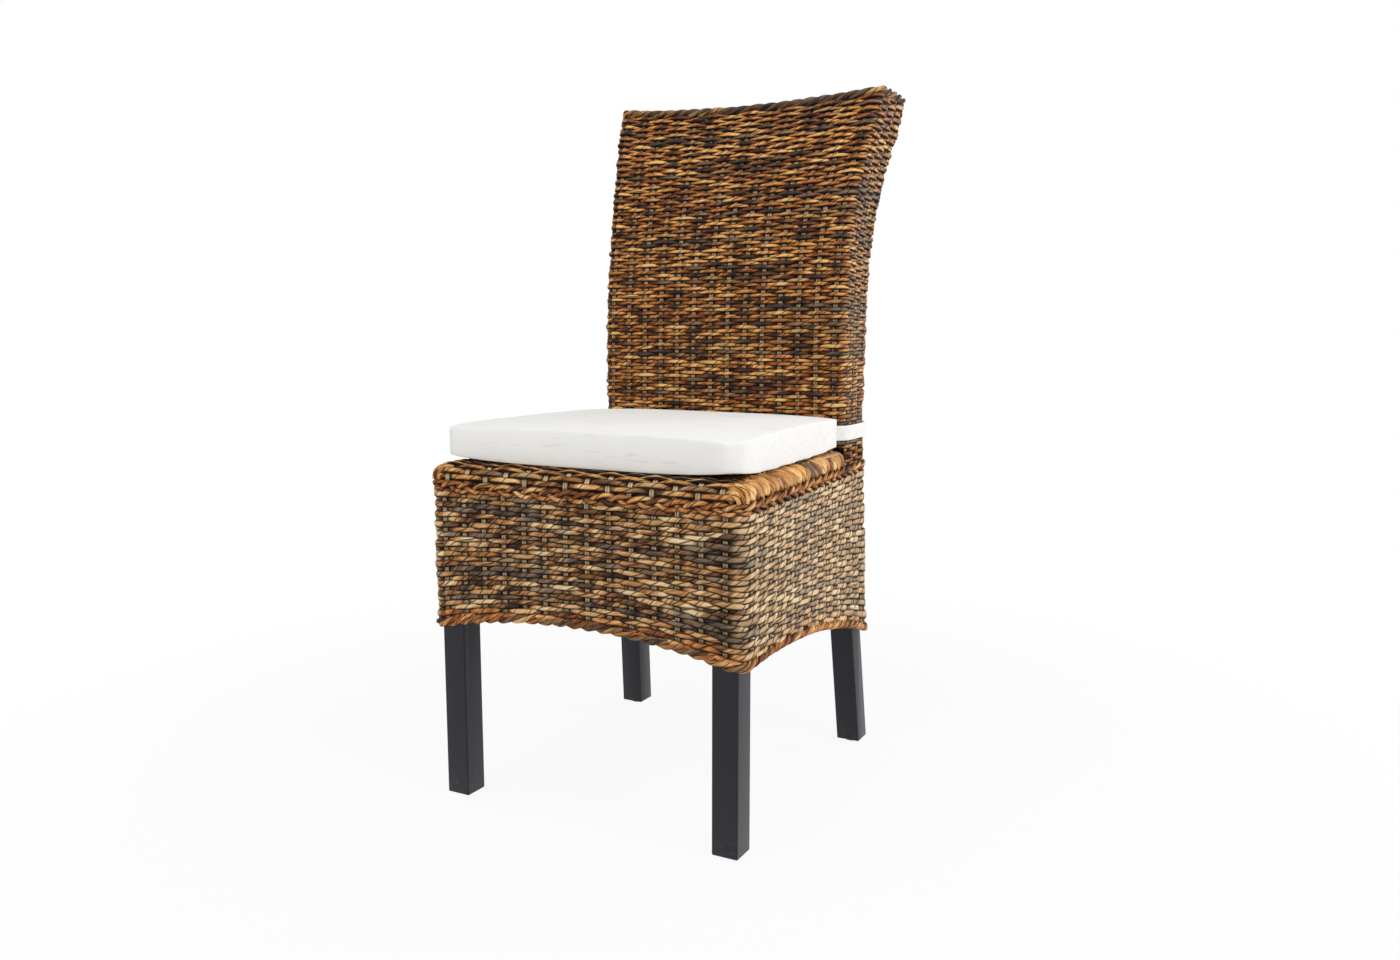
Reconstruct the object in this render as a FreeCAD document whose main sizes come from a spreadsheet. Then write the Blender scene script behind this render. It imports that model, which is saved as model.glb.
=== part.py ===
# A high-backed dining chair: a hardwood frame on black square legs, wrapped in woven fibre rope,
# with a loose seat cushion that is strapped round the back.
# Millimetres, +Z up. The chair faces -Y, stands on Z = 0 and is centred on its outline in plan.
import FreeCAD, Part
import math
import os
import re

import Sketcher
from FreeCAD import Placement, Rotation, Vector

DIMENSIONS = {
    # Overall: the seat is measured to the top of its weave, the depth to the front of the back
    "seat_height": 472,
    "seat_depth": 395,
    "seat_front_width": 479,
    # Legs and posts: each rear post is one sawn piece, leg below and back stile above
    "leg_size": 36,
    "leg_edge_radius": 2,
    "foot_spacing": 398,
    "stile_spacing": 353,
    "stile_depth": 78,
    "foot_kick_depth": 57,
    "kick_height": 500,
    "swell_low_height": 200,
    "swell_high_height": 320,
    "bend_height": 620,
    "back_radius": 847,
    "back_sweep_angle": 25,
    # Rails and their joints
    "rail_height": 62,
    "rail_thickness": 22,
    "tenon_thickness": 12,
    "tenon_shoulder_width": 10,
    "joint_clearance": 0.15,
    "brace_width": 40,
    "brace_thickness": 20,
    "brace_housing_depth": 8,
    "block_size": 70,
    "block_height": 34,
    "back_rail_height": 36,
    "lower_rail_gap": 20,
    "middle_rail_angle": 9,
    "back_rail_relief_depth": 0.5,
    "crest_height": 46,
    "crest_gap": 2,
    # Glides tacked under the feet
    "glide_diameter": 22,
    "glide_height": 3.5,
    "glide_edge_width": 1,
    # Weave: rows of rope round upright stakes, with a rib for each pair of rows
    "weave_thickness": 10,
    "weave_clearance": 0.4,
    "weave_corner_radius": 21,
    "rib_depth": 2.5,
    "back_row_pitch": 11,
    "skirt_row_pitch": 12.5,
    "ear_flare_width": 20,
    "ear_length": 250,
    "ear_lift_height": 11,
    "stake_width": 6,
    "stake_thickness": 4,
    "stake_clearance": 0.5,
    "back_stake_pitch": 30,
    "skirt_stake_pitch": 30,
    "seat_stake_pitch": 30,
    # Borders: the braid under the seat edge, the arched rim and the rope along the top
    "border_height": 13,
    "border_proud_depth": 1.5,
    "border_gap": 0.9,
    "top_border_height": 10,
    "seat_edge_height": 25,
    "rim_front_height": 241,
    "rim_rear_height": 176,
    "front_arch_rise": 28,
    "side_arch_rise": 25,
    "rear_arch_rise": 30,
    # Cushion
    "cushion_front_width": 440,
    "cushion_rear_width": 390,
    "cushion_front_inset": 33,
    "cushion_thickness": 43,
    "cushion_edge_radius": 14,
    "cushion_corner_radius": 26,
    "cushion_crown_height": 6,
    "cushion_draw_depth": 3,
    "cushion_gap": 0.4,
    "cover_thickness": 1.5,
    "foam_gap": 0.3,
    # Straps that hold the cushion to the back
    "strap_width": 22,
    "strap_thickness": 2,
    "strap_gap": 0.3,
    "strap_sewn_length": 45,
    "strap_end_gap": 12,
    "fastener_length": 80,
    "fastener_thickness": 2,
}

# Shares of the piece that carries them
BRACE_PLACE_SHARES = (0.36, 0.68)
CROWN_SIZE_SHARES = (0.75, 0.45)

SIDES = {"left": 1, "right": -1}
CORNER_CHORD_COUNT = 3
SKIRT_CHORD_COUNTS = (5, 4, 5, 4)
BACK_CHORD_COUNTS = (3, 1, 3, 1)
CUSHION_CHORD_COUNTS = (4, 4, 4, 4)
CUSHION_CORNER_CHORD_COUNT = 3
EDGE_STEP_COUNT = 3
BORDER_FACET_COUNT = 6
CURVE_STEP_COUNT = 9
FLATNESS = 1e-6

doc = FreeCAD.newDocument("WovenChair")
sheet = doc.addObject("Spreadsheet::Sheet", "Dimensions")
for row, (alias, number) in enumerate(DIMENSIONS.items(), start=1):
    sheet.set(f"A{row}", str(number))
    sheet.setAlias(f"A{row}", alias)
layout = doc.addObject("App::VarSet", "Layout")
doc.recompute()


# Named values and formulas
def bound(formula):
    """Write each named value of a formula as the object and the property that hold it."""

    def place(match):
        name = match.group(0)
        if name in DIMENSIONS:
            return "Dimensions." + name
        if name in layout.PropertiesList:
            return "Layout." + name
        return name

    return re.sub(r"[a-z_]+", place, formula)


def bind(item, **formulas):
    for prop, formula in formulas.items():
        item.setExpression(prop, bound(formula))


def derive(name, formula):
    """Keep a value that follows from the driving dimensions, under its own name."""
    layout.addProperty("App::PropertyFloat", name, "Layout")
    layout.setExpression(name, bound(formula))
    layout.recompute()


def value(formula):
    """Work out a formula as a plain number."""
    if "scratch" not in layout.PropertiesList:
        layout.addProperty("App::PropertyFloat", "scratch", "Layout")
    layout.setExpression("scratch", bound(formula))
    layout.recompute()
    return layout.scratch


# Places along the depth: Y grows from the front to the rear
derive("wrap", "weave_thickness + weave_clearance")
derive("back_thickness", "stile_depth + 2 * wrap")
derive("back_inner_radius", "back_radius - back_thickness")
derive("back_top_angle", "asin(back_radius * sin(back_sweep_angle) / back_inner_radius)")
derive("overall_depth", "seat_depth + back_radius - back_inner_radius * cos(back_top_angle)"
       " + top_border_height * sin(back_top_angle)")
derive("front_y", "-overall_depth / 2")
derive("back_front_y", "front_y + seat_depth")
derive("stile_front_y", "back_front_y + wrap")
derive("stile_rear_y", "stile_front_y + stile_depth")
derive("skirt_rear_y", "stile_rear_y + wrap")
derive("leg_front_y", "front_y + wrap")
derive("leg_y", "leg_front_y + leg_size / 2")
derive("foot_front_y", "stile_front_y + foot_kick_depth")
derive("arc_y", "back_front_y + back_radius")

# Places across the width
derive("splay", "(foot_spacing - stile_spacing) / 2 / bend_height")
derive("foot_outer_x", "(foot_spacing + leg_size) / 2")
derive("stile_outer_x", "(stile_spacing + leg_size) / 2")
derive("front_outer_x", "seat_front_width / 2")
derive("rear_outer_x", "foot_outer_x - splay * (seat_height - seat_edge_height) + wrap")
derive("side_taper", "(front_outer_x - rear_outer_x) / (skirt_rear_y - front_y)")
derive("leg_x", "front_outer_x - wrap - leg_size / 2 - side_taper * (wrap + leg_size)")

# Heights
derive("rail_setback", "stake_thickness + 2 * stake_clearance - weave_clearance")
derive("rail_top", "seat_height - weave_thickness - stake_clearance - stake_thickness")
derive("rail_middle", "rail_top - rail_height / 2")
derive("seat_edge_bottom", "seat_height - seat_edge_height")
derive("skirt_top", "seat_edge_bottom - border_height - 2 * border_gap")
derive("kick_slope", "foot_kick_depth / kick_height")
derive("tenon_length", "(leg_size - tenon_thickness) / 2")
derive("lower_rail_middle", "seat_height + lower_rail_gap + back_rail_height / 2")

# Lengths along the front face of the back, from the seat up its straight and then its curve
derive("back_straight", "bend_height - seat_height - border_gap")
derive("back_length", "back_straight + back_radius * back_sweep_angle * pi / 180")
derive("rear_rise_length", "back_radius * (back_top_angle - back_sweep_angle) * pi / 180")
derive("crest_top", "back_length - weave_thickness - crest_gap")
derive("crest_middle", "crest_top - crest_height / 2 * back_radius / back_inner_radius")
derive("crest_lift", "ear_lift_height * (ear_length - weave_thickness - crest_gap)^2 / ear_length^2")
derive("crest_angle", "(crest_middle - back_straight) / back_radius * 180 / pi")
derive("back_rail_depth", "stile_depth - 2 * rail_setback - 2 * back_rail_relief_depth")

# Cushion and straps
derive("cushion_rear_gap", "strap_thickness + 2 * strap_gap")
derive("cushion_front_y", "front_y + cushion_front_inset")
derive("cushion_rear_y", "back_front_y - cushion_rear_gap")
derive("cushion_bottom", "seat_height + cushion_gap")
derive("cushion_top", "cushion_bottom + cushion_thickness")
derive("strap_bottom", "cushion_top - cushion_edge_radius - strap_width / 2")


def post_outer(height):
    """Formula of how far out a rear post's outer face stands, up to its bend."""
    return f"(foot_outer_x - splay * ({height}))"


def post_front(height):
    """Formula of where a rear post's raked front face stands, below the height of its kick."""
    return f"(foot_front_y - kick_slope * ({height}))"


# Shapes bound to formulas
def beam(name, lengths, centre, axis="Z", turn="0"):
    """A box of the given lengths about its centre, turned round the Z or the X axis."""
    item = doc.addObject("Part::Box", name)
    item.Placement.Rotation = Rotation(Vector(1, 0, 0) if axis == "X" else Vector(0, 0, 1), 1)
    long, wide, high = lengths
    x, y, z = centre
    bind(item, Length=long, Width=wide, Height=high)
    cosine, sine = f"cos({turn})", f"sin({turn})"
    if axis == "X":
        corner = (f"{x} - ({long}) / 2",
                  f"{y} - ({wide}) / 2 * {cosine} + ({high}) / 2 * {sine}",
                  f"{z} - ({wide}) / 2 * {sine} - ({high}) / 2 * {cosine}")
    else:
        corner = (f"{x} - ({long}) / 2 * {cosine} + ({wide}) / 2 * {sine}",
                  f"{y} - ({long}) / 2 * {sine} - ({wide}) / 2 * {cosine}",
                  f"{z} - ({high}) / 2")
    for letter, formula in zip("xyz", corner):
        item.setExpression(f"Placement.Base.{letter}", bound(formula))
    item.setExpression("Placement.Rotation.Angle", bound(turn))
    return item


def cut(name, base, tools):
    """The base with the tools taken out of it."""
    item = doc.addObject("Part::Cut", name)
    item.Base = base
    item.Tool = tools[0] if len(tools) == 1 else joined(name + "_tools", tools)
    return item


def joined(name, pieces):
    item = doc.addObject("Part::MultiFuse", name)
    item.Shapes = pieces
    return item


def gathered(name, pieces):
    """Like pieces that stay apart, kept under one name."""
    item = doc.addObject("Part::Compound", name)
    item.Links = pieces
    return item


def tenon(name, lengths, centre, axis="Z", turn="0"):
    """A tenon and the mortise that takes it, both about the point where the shoulder lies."""
    loose = [f"{length} + 2 * joint_clearance" for length in lengths]
    return (beam(name + "_tenon", lengths, centre, axis, turn),
            beam(name + "_mortise", loose, centre, axis, turn))


def outline(body, plane, corners):
    """A closed sketch through corners given as formulas.

    A corner that also gives a radius and a sign starts an arc, which bulges to the right of the way
    it is drawn, or to the left if the sign is -1.
    """
    sketch = body.newObject("Sketcher::SketchObject", body.Name + "_outline")
    planes = {feature.Role: feature for feature in body.Origin.OriginFeatures}
    sketch.AttachmentSupport = (planes[plane], "")
    sketch.MapMode = "FlatFace"
    points = [Vector(value(x), value(y), 0) for x, y, *_ in corners]
    count = len(points)
    for index, (_, _, *bend) in enumerate(corners):
        start, end = points[index], points[(index + 1) % count]
        edge = Part.LineSegment(start, end)
        if bend:
            radius, sign = bend
            edge = Part.Arc(start, arc_middle(start, end, value(radius), sign), end)
        sketch.addGeometry(edge)
    first_ends = [2 if bend and bend[1] < 0 else 1 for _, _, *bend in corners]
    for index, (x, y, *bend) in enumerate(corners):
        first, following = first_ends[index], (index + 1) % count
        fix_coordinate(sketch, "DistanceX", index, first, x)
        fix_coordinate(sketch, "DistanceY", index, first, y)
        meeting = Sketcher.Constraint("Coincident", index, 3 - first, following, first_ends[following])
        sketch.addConstraint(meeting)
        if bend:
            row = sketch.addConstraint(Sketcher.Constraint("Radius", index, value(bend[0])))
            sketch.setExpression(f"Constraints[{row}]", bound(bend[0]))
    return sketch


def arc_middle(start, end, radius, sign):
    """The middle point of the shorter arc between two points, on the side that the sign gives."""
    chord = end - start
    half = chord.Length / 2
    rise = radius - math.sqrt(radius * radius - half * half)
    right = Vector(chord.y, -chord.x, 0).normalize()
    return (start + end) * 0.5 + right * (rise * sign)


def fix_coordinate(sketch, kind, edge, end, formula):
    """Hold one coordinate of an edge's end, measured from the sketch's origin."""
    if formula == "0":
        axis = -2 if kind == "DistanceX" else -1
        sketch.addConstraint(Sketcher.Constraint("PointOnObject", edge, end, axis))
        return
    row = sketch.addConstraint(Sketcher.Constraint(kind, -1, 1, edge, end, value(formula)))
    sketch.setExpression(f"Constraints[{row}]", bound(formula))


def body_with(name, x="0", y="0", z="0"):
    body = doc.addObject("PartDesign::Body", name)
    for letter, formula in zip("xyz", (x, y, z)):
        body.setExpression(f"Placement.Base.{letter}", bound(formula))
    return body


def pad(body, sketch, length, both_ways=False):
    feature = body.newObject("PartDesign::Pad", body.Name + "_pad")
    feature.Profile = sketch
    if both_ways:
        feature.SideType = "Symmetric"
    bind(feature, Length=length)
    doc.recompute()
    return feature


def rounded(body, base, edges, radius):
    feature = body.newObject("PartDesign::Fillet", body.Name + "_round")
    feature.Base = (base, edges)
    bind(feature, Radius=radius)
    doc.recompute()
    return feature


def edges_that(shape, test):
    """Names of the edges of a shape whose two end points pass a test."""
    ends = ((number, edge.Vertexes) for number, edge in enumerate(shape.Edges, start=1))
    return [f"Edge{number}" for number, tips in ends if test(tips[0].Point, tips[-1].Point)]


def upright(first, second):
    """Whether an edge stands straight up between its two end points."""
    return math.hypot(first.x - second.x, first.y - second.y) < abs(first.z - second.z) * 1e-6


# Front legs: square, upright, with eased edges
def front_leg_blank(side, sign):
    body = body_with(f"front_leg_{side}_blank", f"{sign} * leg_x", "leg_y", "glide_height")
    half = "leg_size / 2"
    square = outline(body, "XY_Plane", [("-" + half, "-" + half), (half, "-" + half),
                                        (half, half), ("-" + half, half)])
    leg = pad(body, square, "rail_top - glide_height")
    rounded(body, leg, edges_that(leg.Shape, upright), "leg_edge_radius")
    return body


# Rear posts: the side view and the front view of the post are sawn out of one plank
def post_side_view():
    body = body_with("post_side_view")
    front_radius = "(back_radius - wrap)"
    rear_radius = f"({front_radius} - stile_depth)"
    swell = "swell_low_height"

    def top_of(radius):
        return f"arc_y - {radius} * cos(back_sweep_angle)", f"bend_height + {radius} * sin(back_sweep_angle)"

    corners = [
        (post_front("glide_height"), "glide_height"),
        (f"{post_front('glide_height')} + leg_size", "glide_height"),
        (f"{post_front(swell)} + leg_size", swell),
        ("stile_rear_y", "swell_high_height"),
        ("stile_rear_y", "bend_height", rear_radius, -1),
        top_of(rear_radius),
        (*top_of(front_radius), front_radius, 1),
        ("stile_front_y", "bend_height"),
        (post_front("kick_height"), "kick_height"),
    ]
    pad(body, outline(body, "YZ_Plane", corners), "foot_spacing + 2 * leg_size", both_ways=True)
    return body


def post_front_view(side, sign):
    body = body_with(f"post_front_view_{side}")
    top = "bend_height + back_radius"
    corners = [(f"{sign} * {post_outer('glide_height')}", "glide_height"),
               (f"{sign} * stile_outer_x", "bend_height"),
               (f"{sign} * stile_outer_x", top),
               (f"{sign} * (stile_outer_x - leg_size)", top),
               (f"{sign} * (stile_outer_x - leg_size)", "bend_height"),
               (f"{sign} * ({post_outer('glide_height')} - leg_size)", "glide_height")]
    pad(body, outline(body, "XZ_Plane", corners), "4 * overall_depth", both_ways=True)
    return body


def post_blank(side, sign, side_view):
    post = doc.addObject("Part::Common", f"rear_post_{side}_blank")
    post.Base = side_view
    post.Tool = post_front_view(side, sign)
    return post


def place_on_back(depth, angle):
    """Formulas of Y and Z at a depth behind the front face of the back and an angle up its curve."""
    radius = f"(back_radius - ({depth}))"
    return f"(arc_y - {radius} * cos({angle}))", f"(bend_height + {radius} * sin({angle}))"


side_view = post_side_view()
legs = {side: front_leg_blank(side, sign) for side, sign in SIDES.items()}
posts = {side: post_blank(side, sign, side_view) for side, sign in SIDES.items()}
leg_cuts = {side: [] for side in SIDES}
post_cuts = {side: [] for side in SIDES}
post_additions = {side: [] for side in SIDES}
nodes = []


def keep(name, item):
    """Name a finished piece of the chair."""
    item.Label = name
    nodes.append(item)
    return item


# Rails across the chair, with a tenon at each end
def cross_rail(name, lengths, centre, supports, shoulder_x, cuts, turn="0"):
    """A rail along X, shouldered against the two uprights that hold it."""
    blank = beam(name + "_blank", lengths, centre, "X", turn)
    pieces = [cut(name + "_shouldered", blank, list(supports.values()))]
    size = ("2 * tenon_length", "tenon_thickness", f"{lengths[2]} - 2 * tenon_shoulder_width")
    for side, sign in SIDES.items():
        point = (f"{sign} * {shoulder_x}", centre[1], centre[2])
        tongue, mortise = tenon(f"{name}_{side}", size, point, "X", turn)
        pieces.append(tongue)
        cuts[side].append(mortise)
    keep(name, joined(name, pieces))


def seat_cross_rails():
    cross_rail("front_seat_rail", ("2 * leg_x", "rail_thickness", "rail_height"),
               ("0", "(leg_front_y + rail_setback + rail_thickness / 2)", "rail_middle"),
               legs, "(leg_x - leg_size / 2)", leg_cuts)
    post_middle = f"({post_outer('rail_middle')} - leg_size / 2)"
    cross_rail("rear_seat_rail", (f"2 * {post_middle}", "rail_thickness", "rail_height"),
               ("0", "(stile_rear_y - rail_setback - rail_thickness / 2)", "rail_middle"),
               posts, f"({post_middle} - leg_size / 2)", post_cuts)


def back_rails():
    lower_middle = f"({post_outer('lower_rail_middle')} - leg_size / 2)"
    cross_rail("back_lower_rail", (f"2 * {lower_middle}", "back_rail_depth", "back_rail_height"),
               ("0", "(stile_front_y + stile_depth / 2)", "lower_rail_middle"),
               posts, f"({lower_middle} - leg_size / 2)", post_cuts)
    y, z = place_on_back("back_thickness / 2", "middle_rail_angle")
    cross_rail("back_middle_rail", ("stile_spacing", "back_rail_depth", "back_rail_height"),
               ("0", y, z), posts, "((stile_spacing - leg_size) / 2)", post_cuts, "-middle_rail_angle")


# Side rails run from the front legs to the narrower rear posts
derive("side_rail_inset", "rail_setback + rail_thickness / 2")
derive("side_front_x", "leg_x + leg_size / 2 - side_rail_inset")
derive("side_front_y", "leg_front_y + leg_size")
derive("side_rear_x", f"{post_outer('rail_top')} - side_rail_inset")
derive("side_rear_y", post_front("rail_middle"))
derive("side_run", "side_rear_y - side_front_y")
derive("side_turn", "atan((side_front_x - side_rear_x) / side_run)")


def side_rail(side, sign, braces):
    name = f"{side}_seat_rail"
    turn = f"(90 + {sign} * side_turn)"
    lengths = ("side_run / cos(side_turn) + 2 * tenon_length", "rail_thickness", "rail_height")
    middle = (f"{sign} * (side_front_x + side_rear_x) / 2", "(side_front_y + side_rear_y) / 2", "rail_middle")
    blank = beam(name + "_blank", lengths, middle, "Z", turn)
    pieces = [cut(name + "_shouldered", blank, [legs[side], posts[side]])]
    size = ("2 * tenon_length", "tenon_thickness", "rail_height - 2 * tenon_shoulder_width")
    ends = {"front": leg_cuts, "rear": post_cuts}
    for end, cuts in ends.items():
        point = (f"{sign} * side_{end}_x", f"side_{end}_y", "rail_middle")
        tongue, mortise = tenon(f"{name}_{end}", size, point, "Z", turn)
        pieces.append(tongue)
        cuts[side].append(mortise)
    return keep(name, cut(name, joined(name + "_whole", pieces), braces))


def side_inner_x(y):
    """Formula of the inner face of the left side rail at a place along the depth."""
    return f"(side_front_x - (({y}) - side_front_y) * tan(side_turn) - rail_thickness / 2 / cos(side_turn))"


def braces_and_housings():
    """Two braces under the seat and the housings that they need in the side rails."""
    braces, housings = [], []
    for index, share in enumerate(BRACE_PLACE_SHARES):
        y = f"(side_front_y + {share} * side_run)"
        long = f"2 * ({side_inner_x(y)} + brace_housing_depth)"
        centre = ("0", y, "(rail_top - brace_thickness / 2)")
        brace, housing = tenon(f"brace_{index}", (long, "brace_width", "brace_thickness"), centre)
        braces.append(brace)
        housings.append(housing)
    keep("seat_braces", gathered("seat_braces", braces))
    return housings


def corner_blocks(rails, front_rail):
    """Blocks that stiffen the two front corners, sawn to fit round the legs."""
    blocks = []
    for side, sign in SIDES.items():
        body = body_with(f"block_{side}", f"{sign} * leg_x", "leg_y", "rail_top - rail_height")
        corners = [("0", "0"), (f"{-sign} * block_size", "0"), ("0", "block_size")]
        pad(body, outline(body, "XY_Plane", corners), "block_height")
        blocks.append(cut(f"corner_block_{side}", body, [legs[side], rails[side], front_rail]))
    keep("corner_blocks", gathered("corner_blocks", blocks))


# Crest rail: shaped to the ears of the back, on tenons at the tops of the stiles
def crest_half(along):
    """Formula of the crest's half length at a place along the back, inside its weave."""
    return (f"(stile_outer_x + ear_flare_width * (({along}) - back_length + ear_length)^2 / ear_length^2"
            " - crest_gap)")


def crest_rail():
    y, z = place_on_back("back_thickness / 2", "crest_angle")
    body = body_with("crest_blank", "0", y, z)
    body.Placement.Rotation = Rotation(Vector(1, 0, 0), 1)
    body.setExpression("Placement.Rotation.Angle", bound("-crest_angle"))
    low, high = crest_half("crest_top - crest_height"), crest_half("crest_top")
    foot, lifted = "-crest_height / 2", "crest_height / 2 + crest_lift"
    dip_radius = f"(({high}^2 + crest_lift^2) / 2 / crest_lift)"
    corners = [("-" + low, foot), (low, foot), (high, lifted, dip_radius, -1), ("-" + high, lifted)]
    pad(body, outline(body, "XZ_Plane", corners), "back_rail_depth", both_ways=True)

    # The stiles stop at the underside of the crest
    foot_y = f"({y} - crest_height / 2 * sin(crest_angle))"
    foot_z = f"({z} - crest_height / 2 * cos(crest_angle))"
    above = "back_radius"
    space_y = f"({foot_y} + {above} / 2 * sin(crest_angle))"
    space_z = f"({foot_z} + {above} / 2 * cos(crest_angle))"
    space = beam("above_stiles", ("2 * stile_spacing", above, above), ("0", space_y, space_z),
                 "X", "-crest_angle")
    mortises = []
    size = ("tenon_thickness", "back_rail_depth - 2 * tenon_shoulder_width", "2 * tenon_length")
    for side, sign in SIDES.items():
        tongue, mortise = tenon(f"crest_{side}", size, (f"{sign} * stile_spacing / 2", foot_y, foot_z),
                                "X", "-crest_angle")
        post_cuts[side].insert(0, space)
        post_additions[side].append(tongue)
        mortises.append(mortise)
    keep("back_crest_rail", cut("back_crest_rail", body, mortises))


# Glides: flat steel buttons tacked under the legs
def glides():
    buttons = []
    for side, sign in SIDES.items():
        feet = {"front": (f"{sign} * leg_x", "leg_y"),
                "rear": (f"{sign} * ({post_outer('glide_height')} - leg_size / 2)",
                         f"({post_front('glide_height')} + leg_size / 2)")}
        for end, (x, y) in feet.items():
            body = body_with(f"glide_{end}_{side}", x, y, "0")
            rim = "glide_diameter / 2"
            profile = outline(body, "XZ_Plane",
                              [("0", "0"), (f"{rim} - glide_edge_width", "0"), (rim, "glide_edge_width"),
                               (rim, "glide_height"), ("0", "glide_height")])
            turned = body.newObject("PartDesign::Revolution", body.Name + "_turned")
            turned.Profile = profile
            turned.ReferenceAxis = (profile, ["V_Axis"])
            turned.Angle = 360
            buttons.append(body)
    keep("foot_glides", gathered("foot_glides", buttons))


seat_cross_rails()
housings = braces_and_housings()
side_rails = {side: side_rail(side, sign, housings) for side, sign in SIDES.items()}
corner_blocks(side_rails, doc.getObject("front_seat_rail"))
back_rails()
crest_rail()
glides()
for side in SIDES:
    keep(f"front_leg_{side}", cut(f"front_leg_{side}", legs[side], leg_cuts[side]))
    sawn = cut(f"rear_post_{side}_sawn", posts[side], post_cuts[side])
    keep(f"rear_post_{side}", joined(f"rear_post_{side}", [sawn] + post_additions[side]))


# Seat weave: one woven sheet drawn over the seat frame, with a rolled edge all round
def seat_plan(name, inset, height):
    """A block over the plan of the seat, drawn in by an inset."""
    body = body_with(name, "0", "0", "seat_edge_bottom")
    front, rear = f"front_outer_x - {inset}", f"rear_outer_x - {inset}"
    near, far = f"front_y + {inset}", f"skirt_rear_y - {inset}"
    corners = [(f"-({front})", near), (front, near), (rear, far), (f"-({rear})", far)]
    return body, pad(body, outline(body, "XY_Plane", corners), height)


def seat_weave():
    body, block = seat_plan("seat_block", "0", "seat_edge_height")
    corners = rounded(body, block, edges_that(block.Shape, upright), "weave_corner_radius")
    top = value("seat_edge_height")
    level = edges_that(corners.Shape, lambda first, second: min(first.z, second.z) > top * 0.99)
    rounded(body, corners, level, "weave_corner_radius")
    hollow, _ = seat_plan("seat_hollow", "weave_thickness", "seat_edge_height - weave_thickness")
    tools = [hollow]
    hole_wide = "leg_size + 2 * weave_clearance + splay * seat_edge_height"
    hole_deep = f"stile_rear_y - {post_front('seat_height')} + 2 * weave_clearance"
    hole_x = f"({post_outer('seat_height')} + splay * seat_edge_height / 2 - leg_size / 2)"
    hole_y = f"(stile_rear_y + {post_front('seat_height')}) / 2"
    for side, sign in SIDES.items():
        tools.append(beam(f"post_hole_{side}", (hole_wide, hole_deep, "4 * seat_edge_height"),
                          (f"{sign} * {hole_x}", hole_y, "seat_height")))
    keep("seat_weave", cut("seat_weave", body, tools))


# Cushion core: the room inside the sewn cover, and the foam that fills it
derive("cushion_half_depth", "(cushion_rear_y - cushion_front_y) / 2")
derive("cushion_y", "(cushion_front_y + cushion_rear_y) / 2")


def lying(first, second):
    return abs(first.z - second.z) < math.hypot(first.x - second.x, first.y - second.y)


def cushion_core(name, gap):
    """A block inside the cover with rounded corners and bevelled edges."""
    inset = f"(cover_thickness + cushion_draw_depth + {gap})"
    thick = f"(cover_thickness + {gap})"
    body = body_with(name, "0", "cushion_y", f"cushion_bottom + {thick}")
    front, rear = f"(cushion_front_width / 2 - {inset})", f"(cushion_rear_width / 2 - {inset})"
    deep = f"(cushion_half_depth - {inset})"
    corners = [("-" + front, "-" + deep), (front, "-" + deep), (rear, deep), ("-" + rear, deep)]
    block = pad(body, outline(body, "XY_Plane", corners), f"cushion_thickness - 2 * {thick}")
    eased = rounded(body, block, edges_that(block.Shape, upright), f"cushion_corner_radius - {inset}")
    bevel = body.newObject("PartDesign::Chamfer", name + "_bevel")
    bevel.Base = (eased, edges_that(eased.Shape, lying))
    bind(bevel, Size="cushion_edge_radius / 2")
    return body


seat_weave()
cushion_room = cushion_core("cushion_room", "0")
keep("cushion_foam", cushion_core("cushion_foam", "foam_gap"))
doc.recompute()


# Solids that are set by their own formulas
class Values:
    """Read a driving dimension or a derived value as a plain number."""

    def __getattr__(self, name):
        return float(sheet.get(name)) if name in DIMENSIONS else getattr(layout, name)


v = Values()


def solid_node(name, shape):
    item = doc.addObject("Part::Feature", name)
    item.Shape = shape
    item.Placement = Placement()
    keep(name, item)


def ring(corners, radius, shifts, chords, corner_chords=CORNER_CHORD_COUNT):
    """Points of a closed ring of four sides: each corner rounded, each side's middle shifted."""
    count = len(corners)
    arcs = []
    for index, corner in enumerate(corners):
        before = (corners[index - 1] - corner).normalize()
        after = (corners[(index + 1) % count] - corner).normalize()
        half_angle = before.getAngle(after) / 2
        inward = (before + after).normalize()
        centre = corner + inward * (radius / math.sin(half_angle))
        start = corner + before * (radius / math.tan(half_angle))
        axis = before.cross(after)
        turn = math.degrees(math.pi - 2 * half_angle)
        steps = [Rotation(axis, -turn * step / corner_chords) for step in range(corner_chords + 1)]
        arcs.append([centre + step.multVec(start - centre) for step in steps])
    points = []
    for index, shift in enumerate(shifts):
        points += arcs[index]
        start, end = arcs[index][-1], arcs[(index + 1) % count][0]
        for step in range(1, chords[index]):
            share = step / chords[index]
            points.append(start + (end - start) * share + shift * (4 * share * (1 - share)))
    return points


def facets(corners):
    """A flat face through four points, or two where the points don't lie in one plane."""
    first, second, third, fourth = corners
    normal = (second - first).cross(third - first).normalize()
    flat = abs((fourth - first).dot(normal)) < FLATNESS
    loops = [corners] if flat else [(first, second, third), (first, third, fourth)]
    return [Part.Face(Part.makePolygon([*loop, loop[0]])) for loop in loops]


def strip(lower, upper):
    """Faces between two rows of points."""
    faces = []
    for index in range(len(lower) - 1):
        faces += facets((lower[index], lower[index + 1], upper[index + 1], upper[index]))
    return faces


def skin(rings):
    """Faces through a row of closed rings."""
    faces = []
    for lower, upper in zip(rings, rings[1:]):
        faces += strip(lower + lower[:1], upper + upper[:1])
    return faces


def closed_solid(faces):
    return Part.makeSolid(Part.makeShell(faces))


def row_rings(rows):
    """Places of the valleys and crests of a number of rows, as shares of their run, with their depth."""
    for step in range(2 * rows + 1):
        yield step / (2 * rows), -v.rib_depth if step % 2 == 0 else 0.0


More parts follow.
